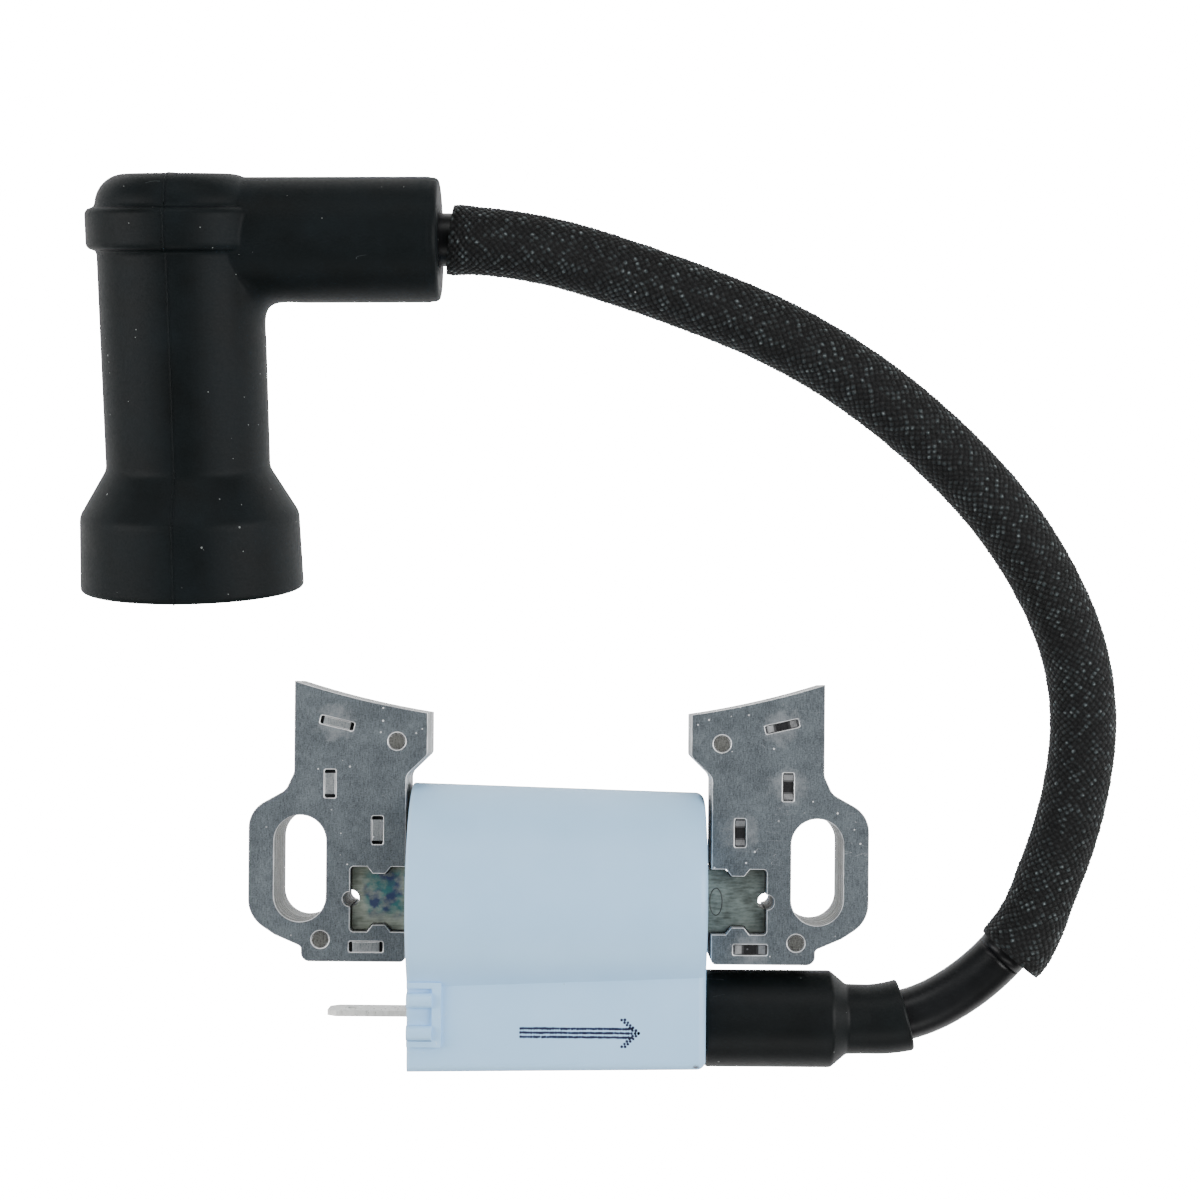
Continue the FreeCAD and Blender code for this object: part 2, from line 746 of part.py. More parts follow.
def lead_link(i):
    """One bending stretch of the lead, with a socket at its tower end and a ball at its cap end."""
    start, heading = JUNCTIONS[i - 1]
    end, end_heading = JUNCTIONS[i]
    sweep = f"sweep_{i}"
    radius = f"link_length * 180 / (pi * sweep_{i})"
    socket = ball(f"socket_{i}", start, "lead_radius + joint_gap")
    last = i == LINKS
    if last:
        wire_end = rod_along(f"wire_end_{i}", end, end_heading, "conductor_radius",
                             "arm_bore_depth - screw_engagement")
        rubber_end = rod_along(f"rubber_end_{i}", end, end_heading, "lead_radius", "arm_bore_depth")
    else:
        wire_end = rod_along(f"wire_end_{i}", end, end_heading, "conductor_radius",
                             "conductor_overrun")
        rubber_end = ball(f"rubber_end_{i}", end, "lead_radius")
    wire = cut(f"wire_{i}", fuse(f"wire_solid_{i}", wire_end,
                                 bend(f"wire_bend_{i}", start, heading, radius, sweep,
                                      "conductor_radius")), socket)
    rubber = fuse(f"rubber_{i}", rubber_end,
                  bend(f"rubber_bend_{i}", start, heading, radius, sweep, "lead_radius"))
    tools = [socket, wire]
    if last:
        tools.append(rod_along("screw_bore", end + V(math.cos(end_heading), math.sin(end_heading), 0)
                               * (size("arm_bore_depth") - size("screw_engagement")), end_heading,
                               "screw_radius + joint_gap", "screw_engagement + 1"))
    finish(in_lead_plane(cut(f"jacket_{i}", rubber, *tools)), f"lead_jacket_{i}")
    finish(in_lead_plane(wire), f"lead_conductor_{i}")
    if i >= SLEEVE_FIRST:
        finish(in_lead_plane(sleeve_piece(i, start, heading, radius)), f"braided_sleeve_{i}")


def sleeve_piece(i, start, heading, radius):
    """The stretch of braided sleeve over one lead segment."""
    sweep = f"sweep_{i}"
    skip = size("sleeve_mouth_sweep") if i == SLEEVE_FIRST else 0.0
    braid = bend(f"braid_{i}", start, heading, radius, sweep, "sleeve_radius", skip)
    inside = bend(f"braid_bore_{i}", start, heading, radius, sweep, "sleeve_bore", skip)
    if i == LINKS:
        for rod in (braid, inside):
            bind(rod, Angle3=f"{sweep} - sleeve_cap_sweep")
    if i == SLEEVE_FIRST:
        return cut(f"sleeve_{i}", braid, inside)
    return cut(f"sleeve_{i}", braid, inside,
               ball(f"sleeve_socket_{i}", start, "sleeve_radius + joint_gap"))


def tower_seal_boot():
    """The rubber boot that seals the lead into the tower and bends with it."""
    axis = ("tower_axis", "core_mid")
    start = V(size("bend_start"), 0, 0)
    body = [cylinder("boot_body", "boot_radius", "boot_shoulder - boot_start", ("boot_start", *axis)),
            cone("boot_cone", "boot_radius", "boot_neck_radius - 0.1", "boot_neck - boot_shoulder",
                 ("boot_shoulder", *axis)),
            cylinder("boot_neck_straight", "boot_neck_radius - 0.1", "bend_start - boot_neck",
                     ("boot_neck", *axis))]
    bent = boot_bend("boot_neck_bend", start, "boot_neck_radius")
    lead = [cylinder("boot_lead", "lead_radius", "bend_start - boot_start", ("boot_start", *axis)),
            boot_bend("boot_lead_bend", start, "lead_radius"),
            cylinder("boot_tower", "tower_radius", "tower_end - boot_start", ("boot_start", *axis))]
    return cut("boot", fuse("boot_solid", *body, bent), *lead)


def boot_bend(name, start, radius):
    """A bent rod that starts as the lead's root bend does, as far as the boot goes."""
    rod = bend(name, start, 0, "bend_radius", "boot_sweep", radius)
    rod.Placement = lead_frame() * rod.Placement
    return rod


# The cap's own frame: X along the arm towards the lead, Z along the trunk away from the mouth. Its round
# solids are turned a little about their own axes, so that their seams stay out of the plane of the elbow.

SEAM_TURN = FreeCAD.Rotation(Z_AXIS, 7)
ALONG_ARM = ALONG_X * SEAM_TURN

def cap_frame():
    """Where the cap's own frame stands: on the lead's end, tipped about the lead."""
    along = FreeCAD.Rotation(Z_AXIS, math.degrees(ARM_HEADING) - 180)
    tip = FreeCAD.Rotation(X_AXIS, -size("cap_tip_angle"))
    elbow = ARM_END + V(math.cos(ARM_HEADING), math.sin(ARM_HEADING), 0) * size("arm_length")
    return lead_frame() * FreeCAD.Placement(elbow, along * tip)


def in_cap(item):
    """Move a finished cap piece from the cap's own frame into the part's frame."""
    moved = group(item.Name + "_in_place", item)
    moved.Placement = cap_frame()
    return moved


def trunk(name, radius, top, bottom):
    """An upright cylinder in the cap's frame, between two heights."""
    return cylinder(name, radius, f"({top}) - ({bottom})", (0, 0, bottom), SEAM_TURN)


def cap_body():
    """The outside of the rubber cap."""
    dome = trunk("dome_solid", "trunk_radius", "dome_top", "collar_bottom")
    doc.recompute()
    top_edge = [n for n, edge in enumerate(dome.Shape.Edges, start=1)
                if edge.BoundBox.ZMin > size("dome_top") - 0.01]
    rounded = doc.addObject("Part::Fillet", "dome")
    rounded.Base = dome
    rounded.Edges = [(n, size("dome_round"), size("dome_round")) for n in top_edge]
    return fuse("cap_solid", rounded,
                trunk("collar", "collar_radius", "collar_top", "collar_bottom"),
                trunk("trunk", "trunk_radius", "collar_bottom", "-flare_start"),
                cone("flare", "flare_radius", "trunk_radius", "flare_end - flare_start",
                     (0, 0, "-flare_end"), SEAM_TURN),
                cone("mouth", "mouth_radius", "flare_radius", "mouth_depth - flare_end",
                     (0, 0, "-mouth_depth"), SEAM_TURN),
                cylinder("arm", "arm_radius", "arm_length", (0, 0, 0), ALONG_ARM))


def insulator_outside(name):
    """The outside of the hard insulator inside the cap."""
    return fuse(name, trunk(name + "_trunk", "insulator_radius", "insulator_top", "-clip_end"),
                cylinder(name + "_arm", "insulator_arm_radius", "arm_length - arm_bore_depth - joint_gap",
                         (0, 0, 0), ALONG_ARM))


def plug_cap_boot():
    """The moulded rubber elbow: lead bore in the arm, plug bore and mouth in the trunk."""
    lead_bore = cylinder("arm_bore", "lead_radius + joint_gap", "arm_bore_depth + joint_gap + 1",
                         ("arm_length - arm_bore_depth - joint_gap", 0, 0), ALONG_ARM)
    return cut("cap_rubber", cap_body(), lead_bore, insulator_outside("cap_insulator_space"),
               trunk("seal_bore", "seal_bore_radius", "-clip_end + 1", "-mouth_depth"),
               trunk("mouth_bore", "mouth_bore_radius", "mouth_bore_depth - mouth_depth",
                     "-mouth_depth - 1"))


def lead_screw():
    """The brass screw that the lead's conductor is turned on to."""
    tip = "arm_length - arm_bore_depth + screw_engagement"
    head = "arm_length - arm_bore_depth - joint_gap"
    shank = cylinder("screw_shank", "screw_radius", tip, (0, 0, 0))
    flange = cylinder("screw_flange", "screw_head_radius", "screw_head_thick",
                      (f"{head} - screw_head_thick", 0, 0))
    return fuse("screw", shank, flange)


def suppressor_resistor():
    """The resistor under the screw."""
    return trunk("resistor", "resistor_radius", "-screw_radius", "-resistor_end")


def contact_spring():
    """The coil spring that presses the resistor against the screw."""
    wire = size("spring_wire_radius")
    reach = size("spring_end") - size("resistor_end") - 2 * wire
    helix = doc.addObject("Part::Helix", "spring_path")
    bind(helix, Radius="spring_radius - spring_wire_radius")
    helix.Pitch = reach / 3
    helix.Height = reach
    section = doc.addObject("Part::Circle", "spring_section")
    bind(section, Radius="spring_wire_radius")
    section.Placement = FreeCAD.Placement(V(size("spring_radius") - wire, 0, 0),
                                          FreeCAD.Rotation(X_AXIS, 90))
    coil = doc.addObject("Part::Sweep", "spring_coil")
    coil.Sections = [section]
    coil.Spine = (helix, [])
    coil.Solid = True
    coil.Frenet = True
    return place(group("spring", coil), 0, 0, "-spring_end + spring_wire_radius")


def plug_terminal_clip():
    """The split brass cup that grips the spark plug's terminal."""
    cup = trunk("clip_cup", "clip_radius", "-spring_end", "-clip_end")
    bore = trunk("clip_bore", "clip_bore_radius", "-spring_end - clip_floor", "-clip_end - 1")
    slit = box("clip_slit_space", (0, "clip_radius + 1"), ("-clip_slit / 2", "clip_slit / 2"),
               ("-clip_end - 1", "-spring_end - clip_floor"))
    return cut("clip", cup, bore, slit)


def cap_insulator():
    """The hard insulator that holds the resistor, spring and clip."""
    rooms = [trunk("resistor_room", "resistor_radius", 0, "-spring_end"),
             trunk("clip_room", "clip_radius", "-spring_end", "-clip_end - 1"),
             cylinder("shank_room", "screw_radius", "arm_length", (0, 0, 0)),
             cylinder("flange_room", "screw_head_radius", "screw_head_thick + 1",
                      ("arm_length - arm_bore_depth - joint_gap - screw_head_thick", 0, 0))]
    return cut("insulator", insulator_outside("insulator_solid"), *rooms)


finish(coil_housing(), "coil_housing")
finish(potting_resin(), "potting_resin")
finish(tower_seal_boot(), "tower_seal_boot")
lead_root()
for number in range(1, LINKS + 1):
    lead_link(number)
finish(in_cap(plug_cap_boot()), "plug_cap_boot")
finish(in_cap(cap_insulator()), "cap_insulator")
finish(in_cap(lead_screw()), "lead_screw")
finish(in_cap(suppressor_resistor()), "suppressor_resistor")
finish(in_cap(contact_spring()), "contact_spring")
finish(in_cap(plug_terminal_clip()), "plug_terminal_clip")


# --------------------------------------------------------------------- output

doc.recompute()
faults = [item.Name for item in doc.Objects if {"Invalid", "Error"} & set(item.State)]
for item in finished:
    if item.Shape.isNull() or not item.Shape.isValid() or not item.Shape.Solids:
        faults.append(item.Label)
if faults:
    raise RuntimeError("failed objects: " + ", ".join(faults))
os.makedirs("parts", exist_ok=True)
for item in finished:
    item.Shape.exportStep(f"parts/{item.Label}.step")
    print(item.Label, len(item.Shape.Solids), round(item.Shape.Volume, 2))
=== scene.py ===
"""The looks of a small engine's ignition coil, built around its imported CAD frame.

Numbers are millimetres in the row frame, and become metres where a mesh is made.
"""
import json
import math
import random

import bmesh
import bpy
import numpy as np
from mathutils import Matrix, Vector


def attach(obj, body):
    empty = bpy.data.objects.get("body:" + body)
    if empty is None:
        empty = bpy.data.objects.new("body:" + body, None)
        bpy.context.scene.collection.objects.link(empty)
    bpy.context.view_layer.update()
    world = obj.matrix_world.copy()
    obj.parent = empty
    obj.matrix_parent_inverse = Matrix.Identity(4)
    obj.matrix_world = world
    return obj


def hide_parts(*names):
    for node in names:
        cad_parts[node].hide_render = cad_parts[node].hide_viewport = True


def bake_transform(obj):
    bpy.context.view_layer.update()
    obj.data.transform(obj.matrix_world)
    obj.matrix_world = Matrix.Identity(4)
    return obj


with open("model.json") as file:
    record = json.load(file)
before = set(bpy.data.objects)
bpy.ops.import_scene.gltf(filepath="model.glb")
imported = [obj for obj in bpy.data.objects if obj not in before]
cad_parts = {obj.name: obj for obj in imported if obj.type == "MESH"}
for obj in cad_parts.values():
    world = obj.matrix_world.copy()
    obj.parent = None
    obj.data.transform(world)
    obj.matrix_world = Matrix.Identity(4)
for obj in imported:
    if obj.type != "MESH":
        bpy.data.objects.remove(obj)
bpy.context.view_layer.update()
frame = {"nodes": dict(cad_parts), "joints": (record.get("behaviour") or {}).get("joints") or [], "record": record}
random.seed(11)

MM = 0.001
LINKS = 8  # flexing stretches of the lead
JOINTS = {joint["name"]: joint for joint in frame["joints"]}
MOUNTS = {mount["name"]: mount for mount in frame["record"]["mounts"]}

SHEET = 0.5  # thickness of one lamination
STACK_TOP = 12.0  # the laminations' front face
LEG_TABS = [  # on the right leg: centre, length, width and turn in degrees of each interlock
    (30.1, 19.7, 4.6, 1.1, 13.0), (31.0, 11.5, 3.8, 1.5, 90.0), (24.55, 5.25, 3.8, 1.5, 90.0),
    (26.0, -10.55, 4.6, 1.4, 0.0),
]


# ---- materials ----

class Shader:
    """A material's node tree, with short ways to add and join nodes."""

    def __init__(self, name):
        self.material = bpy.data.materials.new(name)
        self.material.use_nodes = True
        self.tree = self.material.node_tree
        self.surface = self.tree.nodes["Principled BSDF"]
        self.place = self.add("ShaderNodeTexCoord").outputs["Object"]

    def put(self, socket, value):
        """Give a socket a number, a colour or another socket."""
        if isinstance(value, bpy.types.NodeSocket):
            self.tree.links.new(value, socket)
        elif isinstance(value, (tuple, list)) and len(value) == 3 and socket.type == "RGBA":
            socket.default_value = (*value, 1.0)
        else:
            socket.default_value = value

    def add(self, kind, inputs=None, **settings):
        """A node with its settings and inputs."""
        node = self.tree.nodes.new(kind)
        for key, value in settings.items():
            setattr(node, key, value)
        for key, value in (inputs or {}).items():
            self.put(node.inputs[key], value)
        return node

    def stretched(self, scale, turn=0.0):
        """The object's coordinates scaled on each axis, for brushed or drawn patterns."""
        inputs = {"Vector": self.place, "Scale": scale, "Rotation": (0, 0, turn)}
        return self.add("ShaderNodeMapping", inputs).outputs["Vector"]

    def noise(self, size, detail=3.0, roughness=0.55, vector=None):
        """Noise whose features are about size millimetres across."""
        inputs = {"Vector": vector or self.place, "Scale": 1 / (size * MM), "Detail": detail,
                  "Roughness": roughness}
        return self.add("ShaderNodeTexNoise", inputs).outputs["Fac"]

    def span(self, value, low, high, to_low=0.0, to_high=1.0):
        """A value remapped from one span to another, and held at its ends."""
        inputs = {"Value": value, "From Min": low, "From Max": high, "To Min": to_low, "To Max": to_high}
        return self.add("ShaderNodeMapRange", inputs).outputs["Result"]

    def math(self, operation, first, second=0.0):
        """The result of one arithmetic step."""
        node = self.add("ShaderNodeMath", operation=operation)
        self.put(node.inputs[0], first)
        self.put(node.inputs[1], second)
        return node.outputs[0]

    def times(self, first, second):
        """Two values multiplied."""
        return self.math("MULTIPLY", first, second)

    def plus(self, first, second):
        """Two values added."""
        return self.math("ADD", first, second)

    def mix(self, share, first, second):
        """Two colours mixed by a share."""
        node = self.add("ShaderNodeMix", data_type="RGBA")
        self.put(node.inputs["Factor"], share)
        self.put(node.inputs[6], first)
        self.put(node.inputs[7], second)
        return node.outputs[2]

    def specks(self, cell, size, share):
        """A mask of round specks, one in each cell of that size, in a share of the cells."""
        voronoi = self.add("ShaderNodeTexVoronoi", {"Vector": self.place, "Scale": 1 / (cell * MM)})
        near = self.math("LESS_THAN", voronoi.outputs["Distance"], size / cell)
        split = self.add("ShaderNodeSeparateColor", {"Color": voronoi.outputs["Color"]})
        return self.times(near, self.math("LESS_THAN", split.outputs[0], share))

    def scratches(self, size, width, share, turn=0.6, stretch=6.0):
        """A mask of thin curved scratches, thinned out to a share of the surface."""
        lines = self.noise(size, 1.0, 0.5, self.stretched((1, stretch, stretch), turn))
        line = self.math("LESS_THAN", self.math("ABSOLUTE", self.math("SUBTRACT", lines, 0.5)), width)
        patch = self.math("GREATER_THAN", self.noise(size * 1.7, 2.0), 1 - share)
        return self.times(line, patch)

    def bump(self, height, distance, under=None):
        """A bump of that distance in millimetres, on top of another."""
        inputs = {"Height": height, "Distance": distance * MM, "Strength": 1.0}
        if under:
            inputs["Normal"] = under
        return self.add("ShaderNodeBump", inputs).outputs["Normal"]

    def coordinate(self, axis):
        """The place along one of the object's axes, in metres."""
        return self.add("ShaderNodeSeparateXYZ", {"Vector": self.place}).outputs[axis]

    def distance(self, x, y, z):
        """The distance in metres from a point given in millimetres."""
        inputs = {0: self.place, 1: (x * MM, y * MM, z * MM)}
        return self.add("ShaderNodeVectorMath", inputs, operation="DISTANCE").outputs["Value"]

    def upward(self):
        """How far the surface faces up: 1 on top, 0 on an upright wall and -1 underneath."""
        normal = self.add("ShaderNodeNewGeometry").outputs["True Normal"]
        return self.add("ShaderNodeSeparateXYZ", {"Vector": normal}).outputs["Z"]

    def finish(self, colour, roughness, metallic=0.0, normal=None, **extras):
        """Connect the surface and hand back the material."""
        inputs = {"Base Color": colour, "Roughness": roughness, "Metallic": metallic}
        if normal:
            inputs["Normal"] = normal
        for key, value in {**inputs, **extras}.items():
            self.put(self.surface.inputs[key.replace("_", " ")], value)
        return self.material


def sheet_steel(name, dark, light, worn=(), edge_highlight_share=1.0):
    """Stamped electrical sheet: a rolled grain, bright cut edges that are partly bare metal and partly a
    painted highlight, sides with their sheet lines, painted shade on the recess floors, pale nicks,
    and ragged burnished patches about the worn places."""
    s = Shader(name)
    streaks = s.noise(0.16, 3.0, 0.6, s.stretched((1.0, 0.16, 1.0)))
    speckle = s.noise(0.20, 3.0, 0.7)
    blotch = s.noise(3.2, 4.0, 0.6)
    tone = s.plus(s.plus(s.times(streaks, 0.33), s.times(speckle, 0.45)), s.times(blotch, 0.22))
    colour = s.mix(s.span(tone, 0.39, 0.61), dark, light)
    ragged = s.times(s.noise(1.5, 4.0, 0.65), 5.0 * MM)
    for x, y in worn:
        patch = s.span(s.plus(s.distance(x, y, STACK_TOP), ragged), 5.4 * MM, 3.6 * MM)
        colour = s.mix(s.times(patch, 0.3), colour, (0.44, 0.46, 0.48))
    scuffed = s.span(s.noise(6.0, 2.0), 0.46, 0.54)
    nicks = s.times(s.specks(1.1, 0.14, 0.36), scuffed)
    for cell, size, share in ((2.2, 0.15, 0.18), (4.5, 0.30, 0.10)):
        nicks = s.math("MAXIMUM", nicks, s.specks(cell, size, share))
    colour = s.mix(nicks, colour, (0.86, 0.87, 0.88))
    colour = s.mix(s.times(s.scratches(5.0, 0.003, 0.4), 0.35), colour, (0.60, 0.61, 0.63))
    facing, height = s.upward(), s.coordinate("Z")
    # Painted shade: up-facing floors sunk below the front face are darkened nearly to black.
    sunk = s.span(height, (STACK_TOP - 0.07) * MM, (STACK_TOP - 0.22) * MM)
    shaded_recess_floor = s.times(sunk, s.span(facing, 0.9, 0.98))
    colour = s.mix(s.times(shaded_recess_floor, 0.85), colour, (0.015, 0.015, 0.016))
    sheets = s.math("DIVIDE", height, SHEET * MM)
    number = s.math("FLOOR", sheets)
    sheet_tone = s.add("ShaderNodeTexWhiteNoise", {"W": number}, noise_dimensions="1D").outputs["Value"]
    seam = s.math("PINGPONG", sheets, 0.5)
    side = s.mix(sheet_tone, (0.040, 0.041, 0.034), (0.140, 0.145, 0.128))
    side = s.mix(s.span(speckle, 0.4, 0.7, 0.0, 0.6), side, (0.09, 0.09, 0.08))
    side = s.mix(s.span(seam, 0.13, 0.04, 0.0, 0.95), side, (0.010, 0.010, 0.008))
    colour = s.mix(s.span(s.math("ABSOLUTE", facing), 0.2, 0.1), colour, side)
    # Painted highlight, partly bare cut metal: every tilted edge face, including the dished rings about the
    # rivets, is lightened nearly to white, in patches.
    rim = s.times(s.span(facing, 0.985, 0.96), s.span(facing, 0.25, 0.45))
    patchy_rim_highlight = s.span(blotch, 0.3, 0.6, 0.45 * edge_highlight_share, edge_highlight_share)
    colour = s.mix(s.times(rim, patchy_rim_highlight), colour, (0.88, 0.89, 0.90))
    normal = s.bump(speckle, 0.010, s.bump(streaks, 0.008))
    return s.finish(colour, s.span(tone, 0.3, 0.7, 0.44, 0.60), 0.75, normal)


INK_PATCH = (-23.6, -3.4)  # on the core's left end


def core_steel():
    """Varnished core sheet: an olive film, darker at the right, with an ink mark at the left, and painted shade on
    its side walls.
    """
    s = Shader("core_varnish")
    streaks = s.noise(0.35, 4.0, 0.6, s.stretched((0.25, 1.0, 1.0)))
    blotch = s.noise(2.0, 4.0)
    x, y = s.coordinate("X"), s.coordinate("Y")
    right_end = s.span(x, -5 * MM, 5 * MM)
    dark = s.mix(right_end, (0.140, 0.165, 0.130), (0.055, 0.068, 0.060))
    light = s.mix(right_end, (0.31, 0.345, 0.30), (0.180, 0.215, 0.195))
    tone = s.plus(s.times(streaks, 0.55), s.times(blotch, 0.45))
    colour = s.mix(s.span(tone, 0.38, 0.64), dark, light)
    wander = s.times(s.math("SUBTRACT", s.noise(1.8, 3.0), 0.5), 2.6 * MM)
    across, upright = (
        s.math("ABSOLUTE", s.math("SUBTRACT", s.plus(place, wander), centre * MM))
        for place, centre in zip((x, y), INK_PATCH))
    patch = s.times(s.span(across, 2.9 * MM, 1.9 * MM), s.span(upright, 3.7 * MM, 2.3 * MM))
    cover = s.span(s.noise(1.3, 3.0), 0.34, 0.56, 0.35, 0.95)
    ink = s.mix(s.span(s.noise(2.2, 1.0), 0.44, 0.54), (0.010, 0.105, 0.115), (0.006, 0.022, 0.085))
    colour = s.mix(s.times(patch, cover), colour, ink)
    # Painted shade: the core's side walls, down in the gap to the legs' pockets, are darkened nearly to black.
    colour = s.mix(s.span(s.upward(), 0.6, 0.3), colour, (0.018, 0.018, 0.014))
    normal = s.bump(blotch, 0.02, s.bump(streaks, 0.01))
    rough = s.span(blotch, 0.3, 0.7, 0.34, 0.52)
    return s.finish(colour, rough, 0.25, normal, Coat_Weight=0.2, Coat_Roughness=0.3)


CORNER_STAIN = (18.6, -25.9, 16.8)
OPEN_RIM = -19.5  # where the housing's edge at its open end starts to pale


def case_plastic():
    """Pale blue-grey satin moulding with faint scuffs, a few dark nibs and a stained corner."""
    s = Shader("case_moulding")
    cloud = s.noise(9.0, 3.0)
    grain = s.noise(0.22, 2.0)
    colour = s.mix(s.span(cloud, 0.3, 0.7), (0.385, 0.655, 0.935), (0.415, 0.690, 0.975))
    colour = s.mix(s.times(s.specks(7.0, 0.13, 0.3), 0.7), colour, (0.16, 0.15, 0.14))
    colour = s.mix(s.times(s.scratches(7.0, 0.0025, 0.35), 0.6), colour, (0.60, 0.77, 0.93))
    wander = s.times(s.noise(0.5, 2.0), 0.7 * MM)
    stain = s.span(s.plus(s.distance(*CORNER_STAIN), wander), 0.95 * MM, 0.65 * MM)
    colour = s.mix(s.times(stain, 0.85), colour, (0.09, 0.05, 0.03))
    rim = s.span(s.coordinate("X"), OPEN_RIM * MM, (OPEN_RIM - 0.4) * MM, 0.0, 0.35)
    colour = s.mix(rim, colour, (0.62, 0.78, 0.94))
    normal = s.bump(grain, 0.006, s.bump(cloud, 0.03))
    return s.finish(colour, s.span(grain, 0.2, 0.8, 0.38, 0.48), 0.0, normal)


def rubber(name, base, tint, roughness, dust=0.35, grain=0.35, gloss=0.14):
    """Moulded black rubber: a cool bloom, fine grain, dust specks and a few hairline scratches."""
    s = Shader(name)
    bloom = s.noise(8.0, 4.0, 0.6)
    fine = s.noise(grain, 3.0, 0.6)
    colour = s.mix(s.span(bloom, 0.35, 0.7), base, tint)
    dust_marks = s.math("MAXIMUM", s.specks(1.5, 0.085, dust), s.specks(4.3, 0.15, dust * 0.7))
    colour = s.mix(s.times(dust_marks, 0.6), colour, (0.26, 0.28, 0.27))
    hairlines = s.times(s.scratches(9.0, 0.0022, 0.34, 1.9, 3.0), 0.5)
    colour = s.mix(hairlines, colour, (0.10, 0.115, 0.12))
    rough = s.span(s.plus(s.times(bloom, 0.5), s.times(fine, 0.5)), 0.3, 0.7, *roughness)
    normal = s.bump(fine, 0.012, s.bump(bloom, 0.06))
    return s.finish(colour, rough, 0.0, normal, Specular_IOR_Level=gloss)


FILAMENTS = 5  # fine ridges across one strand of the braid


def braid_material():
    """Varnished black braid: each float has its own tone, a few carry a painted glint, and painted shade darkens
    the roots.
    """
    s = Shader("varnished_braid")
    strand = s.add("ShaderNodeAttribute", attribute_name="strand")
    split = s.add("ShaderNodeSeparateXYZ", {"Vector": strand.outputs["Vector"]})
    across, height, tone = split.outputs["X"], split.outputs["Y"], split.outputs["Z"]
    filament = s.math("SINE", s.times(across, FILAMENTS * 2 * math.pi))
    fuzz = s.noise(0.22, 3.0)
    bright = s.mix(s.math("POWER", tone, 2.5), (0.0038, 0.0050, 0.0053), (0.025, 0.034, 0.036))
    # Painted shade: the colour darkens to near black towards the roots of the floats.
    colour = s.mix(s.span(height, 0.25, 0.9), (0.0012, 0.0013, 0.0013), bright)
    # Painted glint: the crests of the brightest floats are lightened nearly to white.
    glint = s.times(s.span(height, 0.8, 0.97), s.span(tone, 0.72, 0.95))
    glint = s.times(glint, s.span(fuzz, 0.45, 0.6))
    colour = s.mix(s.times(glint, 0.75), colour, (0.19, 0.215, 0.22))
    colour = s.mix(s.times(s.specks(2.4, 0.11, 0.03), 0.8), colour, (0.4, 0.41, 0.4))
    normal = s.bump(fuzz, 0.03, s.bump(filament, 0.012))
    return s.finish(colour, s.span(tone, 0.0, 1.0, 0.65, 0.36), 0.0, normal, Specular_IOR_Level=0.22)


def simple(name, dark, light, roughness, scale=1.0, coat=0.0, metallic=0.0):
    """A plain material: drawn grain on a metal, and soft clouds of colour and gloss on others."""
    s = Shader(name)
    if metallic:
        grain, depth = s.noise(0.5, 4.0, 0.6, s.stretched((1.0, 0.3, 0.3))), 0.02
    else:
        grain, depth = s.noise(scale, 4.0), 0.03
    colour = s.mix(s.span(grain, 0.3, 0.7), dark, light)
    gloss = s.span(grain, 0.3, 0.7, *roughness)
    return s.finish(colour, gloss, metallic, s.bump(grain, depth), Coat_Weight=coat)


def winding_material(name, dark, light, pitch):
    """Enamelled wire wound about X: round ridges at the wire's pitch, with painted shade in the grooves between
    turns.
    """
    s = Shader(name)
    turns = s.add("ShaderNodeTexWave", {"Vector": s.place, "Scale": 0.314 / (pitch * MM)},
                  wave_type="BANDS", bands_direction="X", wave_profile="SIN").outputs["Fac"]
    cloud = s.noise(1.5, 3.0)
    # Painted shade: the colour darkens into the grooves between turns.
    colour = s.mix(s.times(turns, s.span(cloud, 0.3, 0.7, 0.6, 1.0)), dark, light)
    return s.finish(colour, 0.35, 0.6, s.bump(turns, 0.08))


WORN_PLACES = [(x, y) for x, y, *_ in LEG_TABS] + [(-x, y) for x, y, *_ in LEG_TABS[:1]]
STEEL = sheet_steel("lamination_sheet", (0.062, 0.074, 0.085), (0.178, 0.207, 0.226), WORN_PLACES)
# A darker copy of the sheet steel for the interlocks pressed down into their pits: painted shade.
SHADED_TAB_STEEL = sheet_steel("pressed_tab_shaded", (0.020, 0.021, 0.022), (0.110, 0.115, 0.122), edge_highlight_share=0.22)
PALE_TAB = sheet_steel("flush_tab", (0.150, 0.163, 0.170), (0.31, 0.33, 0.34))
RIVET = sheet_steel("rivet_end", (0.045, 0.046, 0.042), (0.165, 0.168, 0.158))
CORE_MARK = simple("core_mark", (0.010, 0.012, 0.010), (0.03, 0.034, 0.028), (0.5, 0.65), 0.4)
CORE = core_steel()
CASE = case_plastic()
CAP_RUBBER = rubber("moulded_rubber", (0.0022, 0.0034, 0.0036), (0.0042, 0.0068, 0.0080), (0.46, 0.60),
                    gloss=0.10)
BOOT_RUBBER = rubber("seal_rubber", (0.0026, 0.0034, 0.0036), (0.0052, 0.0070, 0.0076), (0.42, 0.54),
                     dust=0.2)
LEAD_RUBBER = rubber("lead_rubber", (0.0030, 0.0032, 0.0036), (0.0055, 0.0060, 0.0070), (0.30, 0.40),
                     dust=0.1, grain=0.8, gloss=0.22)
BRAID = braid_material()
TIN = simple("tin_plate", (0.74, 0.74, 0.70), (0.97, 0.97, 0.94), (0.24, 0.42), metallic=0.25)
BRASS = simple("turned_brass", (0.42, 0.29, 0.10), (0.72, 0.54, 0.24), (0.22, 0.4), metallic=1.0)
RESIN = simple("potting_resin", (0.012, 0.011, 0.010), (0.030, 0.027, 0.024), (0.12, 0.3), 3.0, 0.3)
NYLON = simple("bobbin_nylon", (0.52, 0.49, 0.42), (0.66, 0.63, 0.56), (0.4, 0.55))
